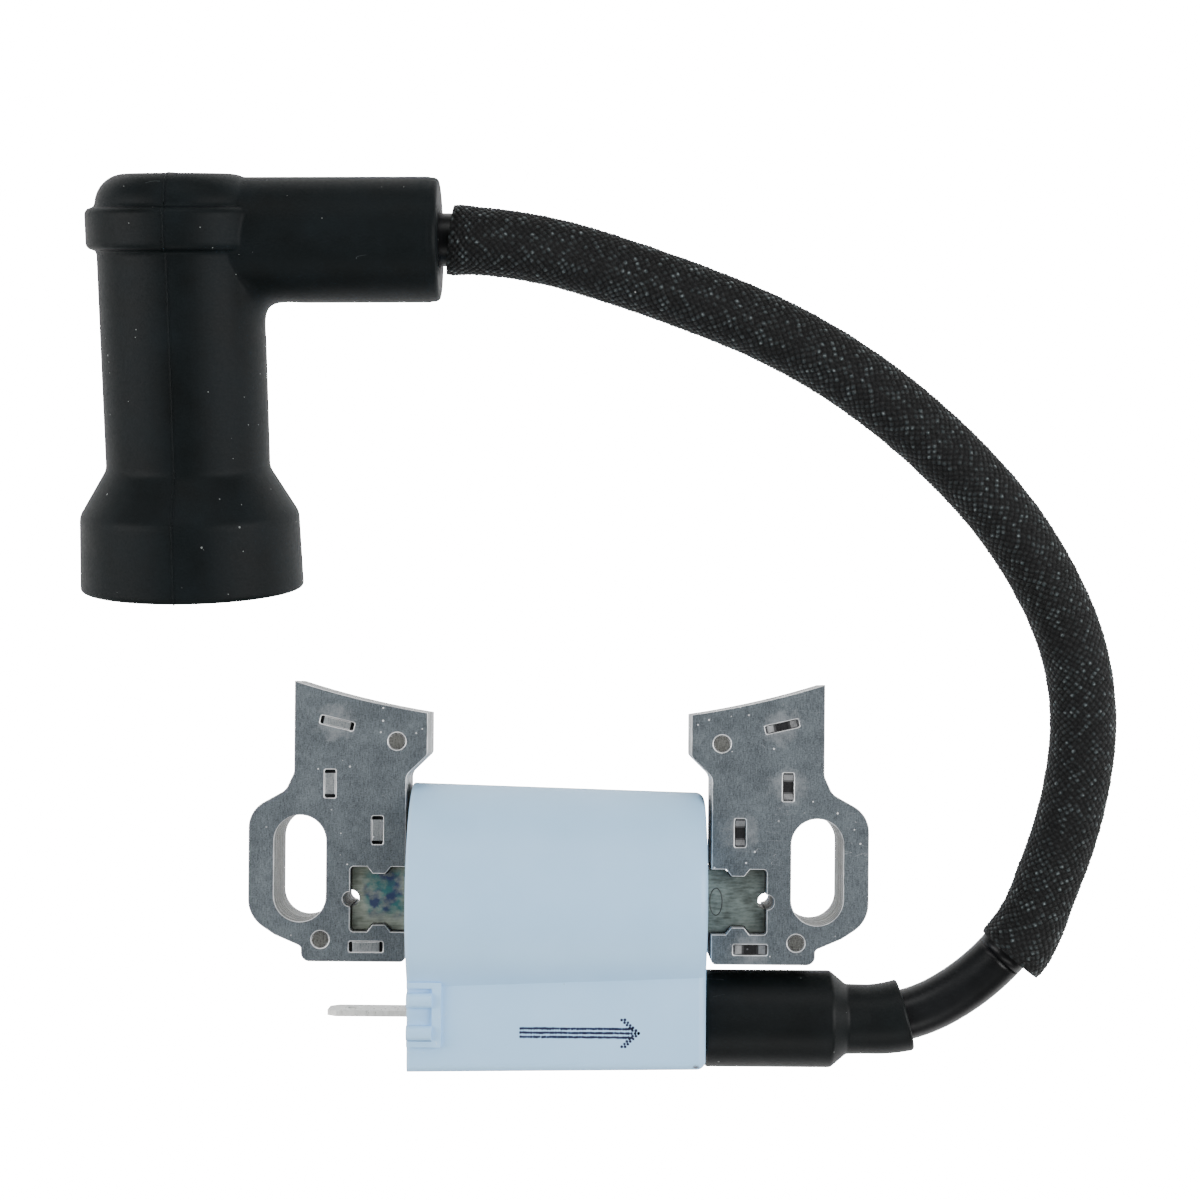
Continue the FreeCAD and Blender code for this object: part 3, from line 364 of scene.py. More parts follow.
PHENOLIC = simple("phenolic", (0.05, 0.022, 0.012), (0.10, 0.045, 0.025), (0.35, 0.5), 0.6)
BOARD = simple("glass_fibre_board", (0.02, 0.10, 0.045), (0.035, 0.16, 0.07), (0.3, 0.45), 0.7)
PACKAGE = simple("component_package", (0.012, 0.012, 0.012), (0.03, 0.03, 0.03), (0.4, 0.6), 0.4)
COPPER = winding_material("copper_wire", (0.10, 0.03, 0.012), (0.62, 0.27, 0.12), 0.4)
INK = simple("navy_ink", (0.004, 0.007, 0.035), (0.010, 0.016, 0.06), (0.5, 0.65), 0.3)

NODE_MATERIALS = {
    "primary_bobbin": NYLON, "secondary_bobbin": NYLON, "primary_winding": COPPER,
    "secondary_winding": COPPER, "igniter_board": BOARD, "power_transistor": PACKAGE,
    "board_components": PACKAGE, "stop_terminal": TIN, "ground_strip": TIN, "ht_terminal": BRASS,
    "coil_housing": CASE, "potting_resin": RESIN, "left_pole_rivets": RIVET, "right_pole_rivets": RIVET,
    "cap_insulator": PHENOLIC, "lead_screw": BRASS, "suppressor_resistor": PACKAGE,
    "contact_spring": TIN, "plug_terminal_clip": BRASS,
}


# ---- mesh helpers ----

def new_piece(name, points, faces, material, slot=None, smooth=True):
    """A mesh object from points in millimetres, with its normals turned outwards."""
    mesh = bpy.data.meshes.new(name)
    mesh.from_pydata((np.asarray(points, float) * MM).tolist(), [], faces)
    work = bmesh.new()
    work.from_mesh(mesh)
    bmesh.ops.recalc_face_normals(work, faces=work.faces)
    work.to_mesh(mesh)
    work.free()
    mesh.polygons.foreach_set("use_smooth", [smooth] * len(mesh.polygons))
    mesh.materials.append(material)
    piece = bpy.data.objects.new(name, mesh)
    bpy.context.scene.collection.objects.link(piece)
    return piece


def full_turn(count):
    """Even angles round a circle."""
    return np.linspace(0, 2 * np.pi, count, endpoint=False)


def skin(rings, loop=False):
    """Points and faces of a skin over rings of points, joined round or capped at both ends."""
    rings = np.asarray(rings, float)
    count, size = rings.shape[:2]
    index = np.arange(count * size).reshape(count, size)
    here = index if loop else index[:-1]
    ahead = np.roll(index, -1, axis=0) if loop else index[1:]
    quads = np.stack([here, np.roll(here, -1, axis=1), np.roll(ahead, -1, axis=1), ahead], axis=-1)
    faces = quads.reshape(-1, 4).tolist()
    if not loop:
        faces += [index[0][::-1].tolist(), index[-1].tolist()]
    return rings.reshape(-1, 3), faces


def joined(parts):
    """Several lists of points and faces as one."""
    points, faces, count = [], [], 0
    for some_points, some_faces in parts:
        points.append(np.asarray(some_points, float))
        faces += [[i + count for i in face] for face in some_faces]
        count += len(some_points)
    return np.concatenate(points), faces


def slab(corners, low, high):
    """Points and faces of a flat outline given thickness."""
    corners = np.asarray(corners, float)
    rings = [np.column_stack([corners, np.full(len(corners), level)]) for level in (low, high)]
    return skin(rings)


def rounded(corners, steps=6):
    """An open line of points whose corners, each with a radius, are rounded off by arcs."""
    points = []
    for i, (x, y, radius) in enumerate(corners):
        here = np.array([x, y], float)
        if radius == 0 or i in (0, len(corners) - 1):
            points.append(here)
            continue
        back = np.array(corners[i - 1][:2]) - here
        ahead = np.array(corners[i + 1][:2]) - here
        back, ahead = back / np.linalg.norm(back), ahead / np.linalg.norm(ahead)
        half = math.acos(max(-1.0, min(1.0, float(back @ ahead)))) / 2
        middle = (back + ahead) / np.linalg.norm(back + ahead)
        centre = here + middle * radius / math.sin(half)
        first, last = here + back * radius / math.tan(half), here + ahead * radius / math.tan(half)
        start, end = first - centre, last - centre
        turn = math.atan2(start[0] * end[1] - start[1] * end[0], float(start @ end))
        for step in range(steps + 1):
            angle = turn * step / steps
            cos, sin = math.cos(angle), math.sin(angle)
            points.append(centre + np.array([start[0] * cos - start[1] * sin,
                                             start[0] * sin + start[1] * cos]))
    return np.array(points)


def baked(piece):
    """Apply a piece's modifiers to its mesh."""
    bpy.context.view_layer.update()
    solid = piece.evaluated_get(bpy.context.evaluated_depsgraph_get())
    mesh = bpy.data.meshes.new_from_object(solid)
    piece.modifiers.clear()
    piece.data = mesh
    return piece


def carve(piece, tool, operation="DIFFERENCE"):
    """Cut a tool from a piece, or add it, and drop the tool."""
    change = piece.modifiers.new("carve", "BOOLEAN")
    change.object = tool
    change.operation = operation
    change.solver = "EXACT"
    baked(piece)
    bpy.data.objects.remove(tool)
    return piece


def smooth_step(share):
    """A share from 0 to 1 eased at both ends."""
    share = np.clip(share, 0, 1)
    return share * share * (3 - 2 * share)


# ---- lead ----

TOWER_AXIS = np.array([0.0, -20.6, 6.0])  # a point on the tower's axis, which runs along X
LEAD_SEAT = 22.0  # X where the lead bottoms in the tower
TAIL = 14.0  # length of lead inside the cap's arm
LEAD_RADIUS = 3.5
CONDUCTOR_RADIUS = 1.0
FORWARD = np.array([1.0, 0.0, 0.0])
NORMAL = np.array(JOINTS["lead_curl_1"]["axis"])  # square to the plane the lead lies in
ACROSS = np.cross(NORMAL, FORWARD)


def lead_joint(i):
    """The record's joint at one flexing point of the lead."""
    return JOINTS[f"lead_curl_{i}" if i % 2 else f"lead_lift_{i}"]


def flat_angle(direction):
    """A direction's angle in the lead's plane, from 0 to a full turn."""
    direction = np.asarray(direction, float)
    return math.atan2(float(direction @ ACROSS), float(direction @ FORWARD)) % (2 * math.pi)


def flat_place(position):
    """A position in metres as millimetres in the lead's plane."""
    offset = np.array(position) / MM - TOWER_AXIS
    return np.array([offset @ FORWARD, offset @ ACROSS])


def lead_knots():
    """The ends of the lead's arcs as places and headings, worked out from the joints.

    Lift axes lie square to the lead, so they give its heading; the arcs between give the rest.
    """
    places = [flat_place(lead_joint(i)["pos_m"]) for i in range(1, LINKS + 1)]
    headings = [flat_angle(np.cross(NORMAL, lead_joint(i)["axis"])) if i % 2 == 0 else 0.0
                for i in range(1, LINKS + 1)]
    swivel = JOINTS["cap_swivel"]
    places.append(flat_place(swivel["pos_m"]))
    headings.append(flat_angle(-np.array(swivel["axis"])))
    for i in range(0, LINKS, 2):
        chord = places[i + 1] - places[i]
        headings[i] = 2 * math.atan2(chord[1], chord[0]) - headings[i + 1]
    bend = places[0][1] / (1 - math.cos(headings[0]))
    start = np.array([places[0][0] - bend * math.sin(headings[0]), 0.0])
    places = [np.array([LEAD_SEAT, 0.0]), start] + places
    headings = [0.0, 0.0] + headings
    end = places[-1] + TAIL * np.array([math.cos(headings[-1]), math.sin(headings[-1])])
    return np.array(places + [end]), np.array(headings + [headings[-1]])


KNOTS, HEADINGS = lead_knots()
SWEEPS = np.diff(HEADINGS)
LENGTHS = np.linalg.norm(np.diff(KNOTS, axis=0), axis=1) / np.sinc(SWEEPS / 2 / np.pi)
STATIONS = np.concatenate([[0.0], np.cumsum(LENGTHS)])
BEND_START, FIRST_FLEX = STATIONS[1], STATIONS[2]
MIDDLES = [(STATIONS[i + 1] + STATIONS[i + 2]) / 2 for i in range(1, LINKS + 1)]  # of each link
BARREL_END = STATIONS[LINKS + 2]
TAIL_END = STATIONS[-1]


def along_lead(stations):
    """Centre points and directions of the lead at distances from its seat."""
    stations = np.asarray(stations, float)
    part = np.clip(np.searchsorted(STATIONS, stations, side="right") - 1, 0, len(LENGTHS) - 1)
    done = stations - STATIONS[part]
    turned = SWEEPS[part] * done / LENGTHS[part]
    chord = done * np.sinc(turned / 2 / np.pi)
    aim = HEADINGS[part] + turned / 2
    flat = KNOTS[part] + chord[:, None] * np.stack([np.cos(aim), np.sin(aim)], axis=1)
    heading = HEADINGS[part] + turned
    centres = TOWER_AXIS + flat[:, :1] * FORWARD + flat[:, 1:] * ACROSS
    directions = np.cos(heading)[:, None] * FORWARD + np.sin(heading)[:, None] * ACROSS
    return centres, directions


def tube_rings(centres, directions, radii, around):
    """Rings of points square to a centre line. The first point of a ring is at its front, and the
    next quarter at the outside of the lead's bend."""
    angles = full_turn(around)
    radii = np.asarray(radii, float)
    if radii.ndim < 2:
        radii = np.broadcast_to(radii, len(centres))[:, None]
    outwards = np.cross(directions, NORMAL)
    spokes = (np.cos(angles)[None, :, None] * NORMAL
              + np.sin(angles)[None, :, None] * outwards[:, None, :])
    return centres[:, None, :] + radii[:, :, None] * spokes


def lead_spans(first, last):
    """The stretches that the lead is split into: from the middle of one link to the middle of the
    next, so that each spans one joint, and a last one that rides on the last link."""
    spans = []
    for i in range(1, LINKS + 1):
        start = MIDDLES[i - 2] if i > 1 else first
        if MIDDLES[i - 1] > first:
            spans.append((max(start, first), MIDDLES[i - 1], i))
    spans.append((MIDDLES[-1], last, None))
    return spans


def fit_to_lead(piece, joint):
    """Let the last stretch ride on the last link, and bake any other stretch's transform into its mesh."""
    if joint is None:
        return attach(piece, f"lead_{LINKS}")
    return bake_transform(piece)


def stations_between(start, end, pitch):
    """Even stations from one to the other, about a pitch apart."""
    return np.linspace(start, end, max(2, int(round((end - start) / pitch)) + 1))


CONDUCTOR_START = 5.0  # stations: clear of the tower's pin, and inside the cap's arm
CONDUCTOR_END = BARREL_END + 8.0


def build_lead():
    """The rubber lead and its conductor, in stretches that each span one joint."""
    nodes = ["root"] + [str(i) for i in range(1, LINKS + 1)]
    for (start, end, joint), node in zip(lead_spans(0.0, TAIL_END), nodes):
        rows = stations_between(start, end, 0.8)
        centres, directions = along_lead(rows)
        outer = tube_rings(centres, directions, LEAD_RADIUS, 64)
        inner = tube_rings(centres, directions, CONDUCTOR_RADIUS, 64)
        points, faces = skin(np.concatenate([outer, inner[::-1]]), loop=True)
        jacket = new_piece(f"lead_rubber_{node}", points, faces, LEAD_RUBBER, "lead_rubber")
        core_rows = rows[(rows >= CONDUCTOR_START) & (rows <= CONDUCTOR_END)]
        centres, directions = along_lead(core_rows)
        wire = skin(tube_rings(centres, directions, CONDUCTOR_RADIUS, 24))
        wire = new_piece(f"lead_wire_{node}", *wire, COPPER, "copper")
        for piece, cad in ((jacket, f"lead_jacket_{node}"), (wire, f"lead_conductor_{node}")):
            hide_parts(cad)
            fit_to_lead(piece, joint)


# ---- sleeve ----

BRAID_CELLS = 28  # strands of each hand around the sleeve
BRAID_PITCH = 1.0  # along the sleeve
BRAID_HEIGHT = 0.24
SLEEVE_RADIUS = 4.28  # to the bottom of the braid
SLEEVE_WALL = 0.28
SLEEVE_START = FIRST_FLEX + LENGTHS[2] * 20.5 / 36.7  # partway round the first link's arc
SLEEVE_END = BARREL_END - 0.9
MOUTH_OFFSET = 0.95  # how far the loose mouth hangs to the outside of the bend
OFFSET_LENGTH = 13.0  # over which it comes back to the lead
MOUTH_FLARE = 0.50  # how much wider the sleeve is at its mouth, and over what length
MOUTH_FLARE_LENGTH = 9.0
CAP_FLARE = 0.25  # the same at the cap
CAP_FLARE_LENGTH = 5.0
CAP_CUT = 0.5  # how far the slanting cut at the cap moves the sleeve's end
CAP_CUT_LENGTH = 4.0


def weave(around, along):
    """Height, place across the strand, and tone of a plain diamond braid, at places in cells. The
    strands wander a little, and each float has a height and tone of its own from a sine hash."""
    turn = around * 2 * np.pi / BRAID_CELLS
    drift = 0.13 * np.sin(3 * turn + 0.83 * along) + 0.10 * np.sin(5 * turn - 1.37 * along + 1.1)
    slip = 0.12 * np.sin(4 * turn + 1.13 * along + 2.0) + 0.09 * np.sin(7 * turn + 0.61 * along)
    right, left = around + along + drift, around - along + slip
    right_cell, left_cell = np.floor(right), np.floor(left)
    right_part, left_part = right - right_cell - 0.5, left - left_cell - 0.5
    over = (right_cell + left_cell) % 2 == 0
    width = np.where(over, right_part, left_part)
    length = np.where(over, left_part, right_part)
    seam = (right_cell % BRAID_CELLS) * 12.9898 + (left_cell % BRAID_CELLS) * 78.233
    tone = np.modf(np.abs(np.sin(seam)) * 43758.5453)[0]
    height = np.cos(np.pi * width) ** 0.8 * np.cos(np.pi * length) ** 0.6 * (0.72 + 0.4 * tone)
    return height, width, tone


def sleeve_line(stations):
    """The sleeve's own centre line, loose at its mouth, with its directions and radii."""
    def centre_at(places):
        centres, directions = along_lead(places)
        loose = MOUTH_OFFSET * (1 - smooth_step((places - SLEEVE_START) / OFFSET_LENGTH))
        return centres + loose[:, None] * np.cross(directions, NORMAL)
    ahead, behind = centre_at(stations + 0.05), centre_at(stations - 0.05)
    directions = (ahead - behind) / np.linalg.norm(ahead - behind, axis=1)[:, None]
    flare = MOUTH_FLARE * (1 - smooth_step((stations - SLEEVE_START) / MOUTH_FLARE_LENGTH))
    flare = flare + CAP_FLARE * smooth_step((stations - SLEEVE_END) / CAP_FLARE_LENGTH + 1)
    return centre_at(stations), directions, SLEEVE_RADIUS + flare


def build_sleeve():
    """The braided sleeve: an outer wall with the braid's own relief and a plain inner wall."""
    fine = 8
    around = BRAID_CELLS * fine
    angles = np.arange(around) / fine
    spans = lead_spans(SLEEVE_START, SLEEVE_END)
    for number, (start, end, joint) in enumerate(spans, start=1):
        rows = stations_between(start, end, BRAID_PITCH / fine)
        centres, directions, radii = sleeve_line(rows)
        height, across, tone = weave(angles[None, :], rows[:, None] / BRAID_PITCH)
        crown = np.clip(np.minimum(rows - SLEEVE_START, SLEEVE_END - rows) / 0.8, 0.35, 1)[:, None]
        outer = tube_rings(centres, directions, radii[:, None] + BRAID_HEIGHT * height * crown, around)
        inner = tube_rings(centres, directions, radii - SLEEVE_WALL, around)
        if joint is None:
            outer, inner = skewed(outer, rows, directions), skewed(inner, rows, directions)
        inner_rows = np.unique(np.linspace(0, len(rows) - 1, max(4, len(rows) // 12)).astype(int))[::-1]
        points, faces = skin(np.concatenate([outer, inner[inner_rows]]), loop=True)
        piece = new_piece(f"sleeve_{number}", points, faces, BRAID, "braid")
        spare = np.zeros(len(points) - height.size)
        data = np.stack([np.append(across.ravel(), spare), np.append(height.ravel(), spare + 0.3),
                         np.append(tone.ravel(), spare)], axis=1)
        strand = piece.data.attributes.new("strand", "FLOAT_VECTOR", "POINT")
        strand.data.foreach_set("vector", data.astype(np.float32).ravel())
        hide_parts(f"braided_sleeve_{number}")
        fit_to_lead(piece, joint)


def skewed(rings, rows, directions):
    """The cap end's slanting cut: the outside of the bend is cut back further."""
    angles = full_turn(rings.shape[1])
    near_end = smooth_step((rows - SLEEVE_END) / CAP_CUT_LENGTH + 1)
    shift = -CAP_CUT * (1 + np.sin(angles))[None, :] * near_end[:, None]
    return rings + shift[:, :, None] * directions[:, None, :]


# ---- tower boot ----

BOOT_START = 20.1 - LEAD_SEAT  # these are stations along the lead
CONE_START = 37.4 - LEAD_SEAT
CONE_END = 39.6 - LEAD_SEAT
TOWER_END = 36.0 - LEAD_SEAT
BOOT_END = BEND_START + 5.3
BOOT_RADIUS = 6.65
TOWER_RADIUS = 5.2
LEAD_BORE = LEAD_RADIUS + 0.05  # of the rubber round the lead, in the boot and in the cap


def build_boot():
    """The rubber boot over the tower: a straight body, a short cone and a neck bent with the lead."""
    outside = rounded([(BOOT_START, TOWER_RADIUS, 0), (BOOT_START, BOOT_RADIUS, 0.5),
                       (CONE_START, BOOT_RADIUS, 0.9), (CONE_END, 4.80, 0.8), (BEND_START, 4.75, 3.0),
                       (BOOT_END, 5.0, 0.45), (BOOT_END, LEAD_BORE, 0)], 8)
    inside = np.array([(TOWER_END, LEAD_BORE), (TOWER_END, TOWER_RADIUS)])
    profile = np.concatenate([refined(outside, 0.7), inside])
    stations, radii = profile[:, 0], profile[:, 1]
    centres, directions = along_lead(stations)
    points, faces = skin(tube_rings(centres, directions, radii, 96), loop=True)
    boot = new_piece("seal_boot", points, faces, BOOT_RUBBER, "black_rubber")
    sharp_creases(boot, 50)
    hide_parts("tower_seal_boot")
    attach(boot, "coil")


def refined(line, pitch):
    """A line of points with more points on its long stretches."""
    points = [line[0]]
    for start, end in zip(line[:-1], line[1:]):
        count = max(1, int(np.linalg.norm(end - start) / pitch))
        points += [start + (end - start) * step / count for step in range(1, count + 1)]
    return np.array(points)


def sharp_creases(piece, degrees):
    """Shade a piece smooth except over edges sharper than an angle."""
    work = bmesh.new()
    work.from_mesh(piece.data)
    for edge in work.edges:
        edge.smooth = edge.calc_face_angle(0.0) < math.radians(degrees)
    work.to_mesh(piece.data)
    work.free()


# ---- cap ----

ARM_LENGTH = 34.6
ARM_RADIUS = 8.25
ARM_CHANNEL = 5.02  # for the insulator's arm
CAP_VOXEL = 0.28
ARMPIT = (11.3, 0, -8.6)  # middle and half sizes of the inside corner, eased most
ARMPIT_SIZE = (3.4, 7.5, 3.2)


def cap_matrix():
    """The cap's own frame: X along the arm to the lead, Z along the trunk away from the mouth."""
    swivel = JOINTS["cap_swivel"]
    x = Vector(swivel["axis"]).normalized()
    z = -Vector(MOUNTS["plug_hex_mouth"]["axis"]).normalized()
    y = z.cross(x).normalized()
    z = x.cross(y)
    elbow = Vector(swivel["pos_m"]) - x * ARM_LENGTH * MM
    return Matrix.Translation(elbow) @ Matrix((x, y, z)).transposed().to_4x4()


TRUNK_OUTSIDE = [  # radius, height and corner radius from the dome to the mouth
    (0.02, 8.7, 0), (11.0, 8.7, 4.2), (11.0, 4.3, 0.35), (12.35, 4.3, 0.9), (12.35, -1.2, 0.9),
    (11.0, -1.2, 0.35), (11.0, -30.3, 2.0), (14.75, -36.5, 2.2), (15.1, -46.7, 0.45), (12.4, -46.7, 0),
]
TRUNK_INSIDE = [(12.4, -36.3, 0), (5.1, -36.3, 0), (5.1, -24.0, 0), (6.2, -24.0, 0), (6.2, 3.0, 0),
                (0.02, 3.0, 0)]


def lathe(profile, around=180):
    """Points and faces of a profile of radius and height turned about Z."""
    angles = full_turn(around)
    circle = np.stack([np.cos(angles), np.sin(angles), np.zeros(around)], axis=1)
    return skin([radius * circle + (0, 0, height) for radius, height in profile])


def lathe_along_x(profile, around=160):
    """Points and faces of a profile of radius and distance turned about X."""
    points, faces = lathe(profile, around)
    return points[:, [2, 0, 1]], faces


def relaxed(points, edges, weights, steps, grow=0.0):
    """Points eased towards their neighbours, with an optional growing step that keeps their size."""
    first, second = edges[:, 0], edges[:, 1]
    count = np.bincount(edges.ravel(), minlength=len(points))[:, None]
    for _ in range(steps):
        for pull in (0.5, -grow) if grow else (0.5,):
            total = np.zeros_like(points)
            for axis in range(3):
                total[:, axis] = (np.bincount(first, points[second, axis], len(points))
                                  + np.bincount(second, points[first, axis], len(points)))
            points = points + pull * weights[:, None] * (total / count - points)
    return points


def build_cap():
    """The rubber elbow: trunk and arm joined, remeshed and eased so that they flow together."""
    trunk = rounded(TRUNK_OUTSIDE, 10)
    profile = np.concatenate([trunk, np.array(TRUNK_INSIDE)[:, :2]])
    cap = new_piece("cap_boot", *lathe(profile), CAP_RUBBER, "black_rubber")
    arm_profile = rounded([(0.02, 7.0, 0), (ARM_RADIUS, 7.0, 0), (ARM_RADIUS, ARM_LENGTH - 1.25, 0.1),
                           (ARM_RADIUS - 0.14, ARM_LENGTH - 1.2, 0.1), (ARM_RADIUS - 0.05, ARM_LENGTH, 0.7),
                           (0.02, ARM_LENGTH, 0)])
    carve(cap, new_piece("arm", *lathe_along_x(arm_profile), CAP_RUBBER, "black_rubber"), "UNION")
    seat = ARM_LENGTH - TAIL - 0.05
    beyond = ARM_LENGTH + 0.5
    channel = [(0.02, 0, 0), (ARM_CHANNEL, 0, 0), (ARM_CHANNEL, seat, 0), (LEAD_BORE, seat, 0),
               (LEAD_BORE, ARM_LENGTH - 0.5, 0.1), (LEAD_BORE + 0.5, beyond, 0), (0.02, beyond, 0)]
    carve(cap, new_piece("channel", *lathe_along_x(rounded(channel)), CAP_RUBBER, "black_rubber"))
    remesh = cap.modifiers.new("even", "REMESH")
    remesh.mode = "VOXEL"
    remesh.voxel_size = CAP_VOXEL * MM
    baked(cap)
    mesh = cap.data
    points = np.array([vert.co for vert in mesh.vertices]) / MM
    edges = np.array([tuple(edge.vertices) for edge in mesh.edges])
    points = relaxed(points, edges, np.ones(len(points)), 10, grow=0.52)
    armpit = np.linalg.norm((points - ARMPIT) / ARMPIT_SIZE, axis=1)
    points = relaxed(points, edges, smooth_step(1.6 - armpit), 160)
    mesh.vertices.foreach_set("co", (points * MM).ravel())
    mesh.polygons.foreach_set("use_smooth", [True] * len(mesh.polygons))
    mesh.update()
    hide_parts("plug_cap_boot")
    seam = build_parting_line(trunk)
    for piece in (cap, seam):
        piece.data.transform(cap_matrix())
        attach(piece, "plug_cap")


def build_parting_line(trunk):
    """The mould's thin wavering line over the dome and down both faces of the trunk."""
    half = refined(trunk[:-1], 0.5)
    line = np.concatenate([half[::-1] * (1, 1), half[1:] * (-1, 1)])
    ahead = np.roll(line, -1, axis=0) - np.roll(line, 1, axis=0)
    ahead[0], ahead[-1] = line[1] - line[0], line[-1] - line[-2]
    ahead = ahead / np.linalg.norm(ahead, axis=1)[:, None]
    outwards = np.stack([ahead[:, 1], -ahead[:, 0]], axis=1)
    middle = len(line) // 2
    if outwards[middle][1] < 0:
        outwards = -outwards
    rings = []
    for (y, z), (ny, nz) in zip(line, outwards):
        wobble = random.uniform(-0.03, 0.03)
        size = 0.15 + random.uniform(-0.025, 0.035)
        ring = [(size * 0.8 * math.cos(a) + wobble, y + ny * (size * math.sin(a) - 0.03),
                 z + nz * (size * math.sin(a) - 0.03)) for a in full_turn(8)]
        rings.append(ring)
    return new_piece("cap_parting_line", *skin(rings), CAP_RUBBER, "black_rubber")


# ---- lamination ----

CORE_LOW, CORE_TOP = 1.5, 10.5
CORE_GAP = 0.11  # between the core and the legs' pockets


def flat_face(node, level):
    """A node's flat face at a height: its points, triangles, rim and outward rim directions."""
    work = bmesh.new()
    work.from_mesh(frame["nodes"][node].data)
    bmesh.ops.remove_doubles(work, verts=work.verts, dist=1e-6)
    chosen = [face for face in work.faces if all(abs(v.co.z / MM - level) < 0.01 for v in face.verts)]
    numbers = {}
    for face in chosen:
        for vert in face.verts:
            numbers.setdefault(vert, len(numbers))
    points = np.array([vert.co.xy for vert in numbers]) / MM
    triangles = []
    for face in chosen:
        corner = [numbers[vert] for vert in face.verts]
        triangles.append(corner if face.normal.z > 0 else corner[::-1])
    work.free()
    directed = {(t[i], t[(i + 1) % len(t)]) for t in triangles for i in range(len(t))}
    rim = [edge for edge in sorted(directed) if edge[::-1] not in directed]
    outwards = np.zeros_like(points)
    for a, b in rim:
        along = (points[b] - points[a]) / np.linalg.norm(points[b] - points[a])
        for end in (a, b):
            outwards[end] += (along[1], -along[0])
    lengths = np.linalg.norm(outwards, axis=1)
    mitre = np.maximum(lengths, 0.7) * np.maximum(lengths / 2, 0.5)   # held back on sharp corners
    return points, triangles, rim, outwards / mitre[:, None]


def sheet_stack(face, low, count, shift=0.02, gap=0.0):
    """Stamped sheets one on another: a rolled edge at the front of each and a small burr behind."""
    points, triangles, rim, outwards = face
    parts = []
    for number in range(count):
        base = low + number * SHEET
        move = (random.uniform(-shift, shift), random.uniform(-shift, shift))
        if number == count - 1:
            move = (0, 0)
        layers = [(base + 0.01, 0.03), (base + 0.05, 0.0), (base + SHEET - 0.08, 0.0),
                  (base + SHEET - 0.02, 0.035), (base + SHEET, 0.10)]
        rings = [np.column_stack([points + move - (inset + gap) * outwards, np.full(len(points), z)])
                 for z, inset in layers]
        faces = [t[::-1] for t in triangles]
        top = (len(layers) - 1) * len(points)
        faces += [[i + top for i in t] for t in triangles]
        for level in range(len(layers) - 1):
            this, above = level * len(points), (level + 1) * len(points)
            faces += [[a + this, b + this, b + above, a + above] for a, b in rim]
        parts.append((np.concatenate(rings), faces))
    return parts


RIVETS = [(22.0, 17.3), (32.2, -9.6)]
RIVET_RING = 1.12  # radii of the dished ring about each rivet, at its bottom and its mouth
RIVET_RIM = 1.34
TAB_DEPTH = 0.45
TAB_CHAMFER = 0.30  # added to a recess's length and width at its mouth


def turned(x, y, centre_x, centre_y, degrees):
    """A point turned about the origin and moved."""
    angle = math.radians(degrees)
    return (centre_x + x * math.cos(angle) - y * math.sin(angle),
            centre_y + x * math.sin(angle) + y * math.cos(angle))


def tab_outline(length, width, x, y, degrees, corner=0.18):
    """A rectangle with clipped corners about a centre."""
    half, side = length / 2, width / 2
    corners = [(-half + corner, -side), (half - corner, -side), (half, -side + corner),
               (half, side - corner), (half - corner, side), (-half + corner, side),
               (-half, side - corner), (-half, -side + corner)]
    return [turned(px, py, x, y, degrees) for px, py in corners]


def tab_strip(length, width, x, y, degrees, depth, thickness=0.4):
    """A pressed tab: a strip along its length whose surface follows a depth formula."""
    rings = []
    for step in np.linspace(-0.5, 0.5, 17):
        level = STACK_TOP + depth(step)
        side = width / 2
        section = [(-side, level - thickness), (side, level - thickness), (side, level - 0.04),
                   (side - 0.05, level), (-side + 0.05, level), (-side, level - 0.04)]
        ring = [(*turned(step * length, py, x, y, degrees), pz) for py, pz in section]
        rings.append(ring)
    return skin(rings)


def pit(bottom, top, depth):
    """Points and faces of a cutter for a recess with a chamfered mouth in the front face."""
    layers = ((bottom, -depth), (bottom, -0.10), (top, 0.02))
    return skin([[(x, y, STACK_TOP + level) for x, y in outline] for outline, level in layers])


def circle(x, y, radius, around=40):
    """A circle of points."""
    return [turned(radius, 0, x, y, 360 * i / around) for i in range(around)]


def build_leg(side, name):
    """One leg's stack of sheets, with its interlocks and the rings around its rivets."""
    node = f"{name}_pole_laminations"
    parts = sheet_stack(flat_face(node, STACK_TOP), 0.0, int(round(STACK_TOP / SHEET)))
    front = new_piece("front_sheet", *parts[-1], STEEL, "lamination_steel", smooth=False)
    tools, tabs = [], []
    for x, y, length, width, degrees in LEG_TABS:
        place = (side * x, y, side * degrees)
        mouth = tab_outline(length + TAB_CHAMFER, width + TAB_CHAMFER, *place)
        tools.append(pit(tab_outline(length, width, *place), mouth, TAB_DEPTH))
        if side > 0:  # pressed in, sloping down from both ends
            tabs.append(tab_strip(length - 0.02, width - 0.12, *place, pressed_in))
        else:  # pushed back nearly flush, with a gap at each end
            tabs.append(tab_strip(length - 0.95, width - 0.10, *place, pushed_back))
    for x, y in RIVETS:
        tools.append(pit(circle(side * x, y, RIVET_RING), circle(side * x, y, RIVET_RIM), 0.22))
    carve(front, new_piece("cutters", *joined(tools), STEEL, "lamination_steel"))
    stack = new_piece(f"{name}_leg_sheets", *joined(parts[:-1]), STEEL, "lamination_steel", smooth=False)
    strips = new_piece(f"{name}_leg_tabs", *joined(tabs), SHADED_TAB_STEEL if side > 0 else PALE_TAB,
                       "lamination_steel", smooth=False)
    front.name = f"{name}_leg_front_sheet"
    for piece in (front, stack, strips):
        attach(piece, "coil")
    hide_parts(node)


def pressed_in(place):
    """The surface of an interlock pressed into the stack: sloping ends and a flat middle."""
    return -0.03 - 0.36 * smooth_step((0.5 - abs(place)) / 0.34)


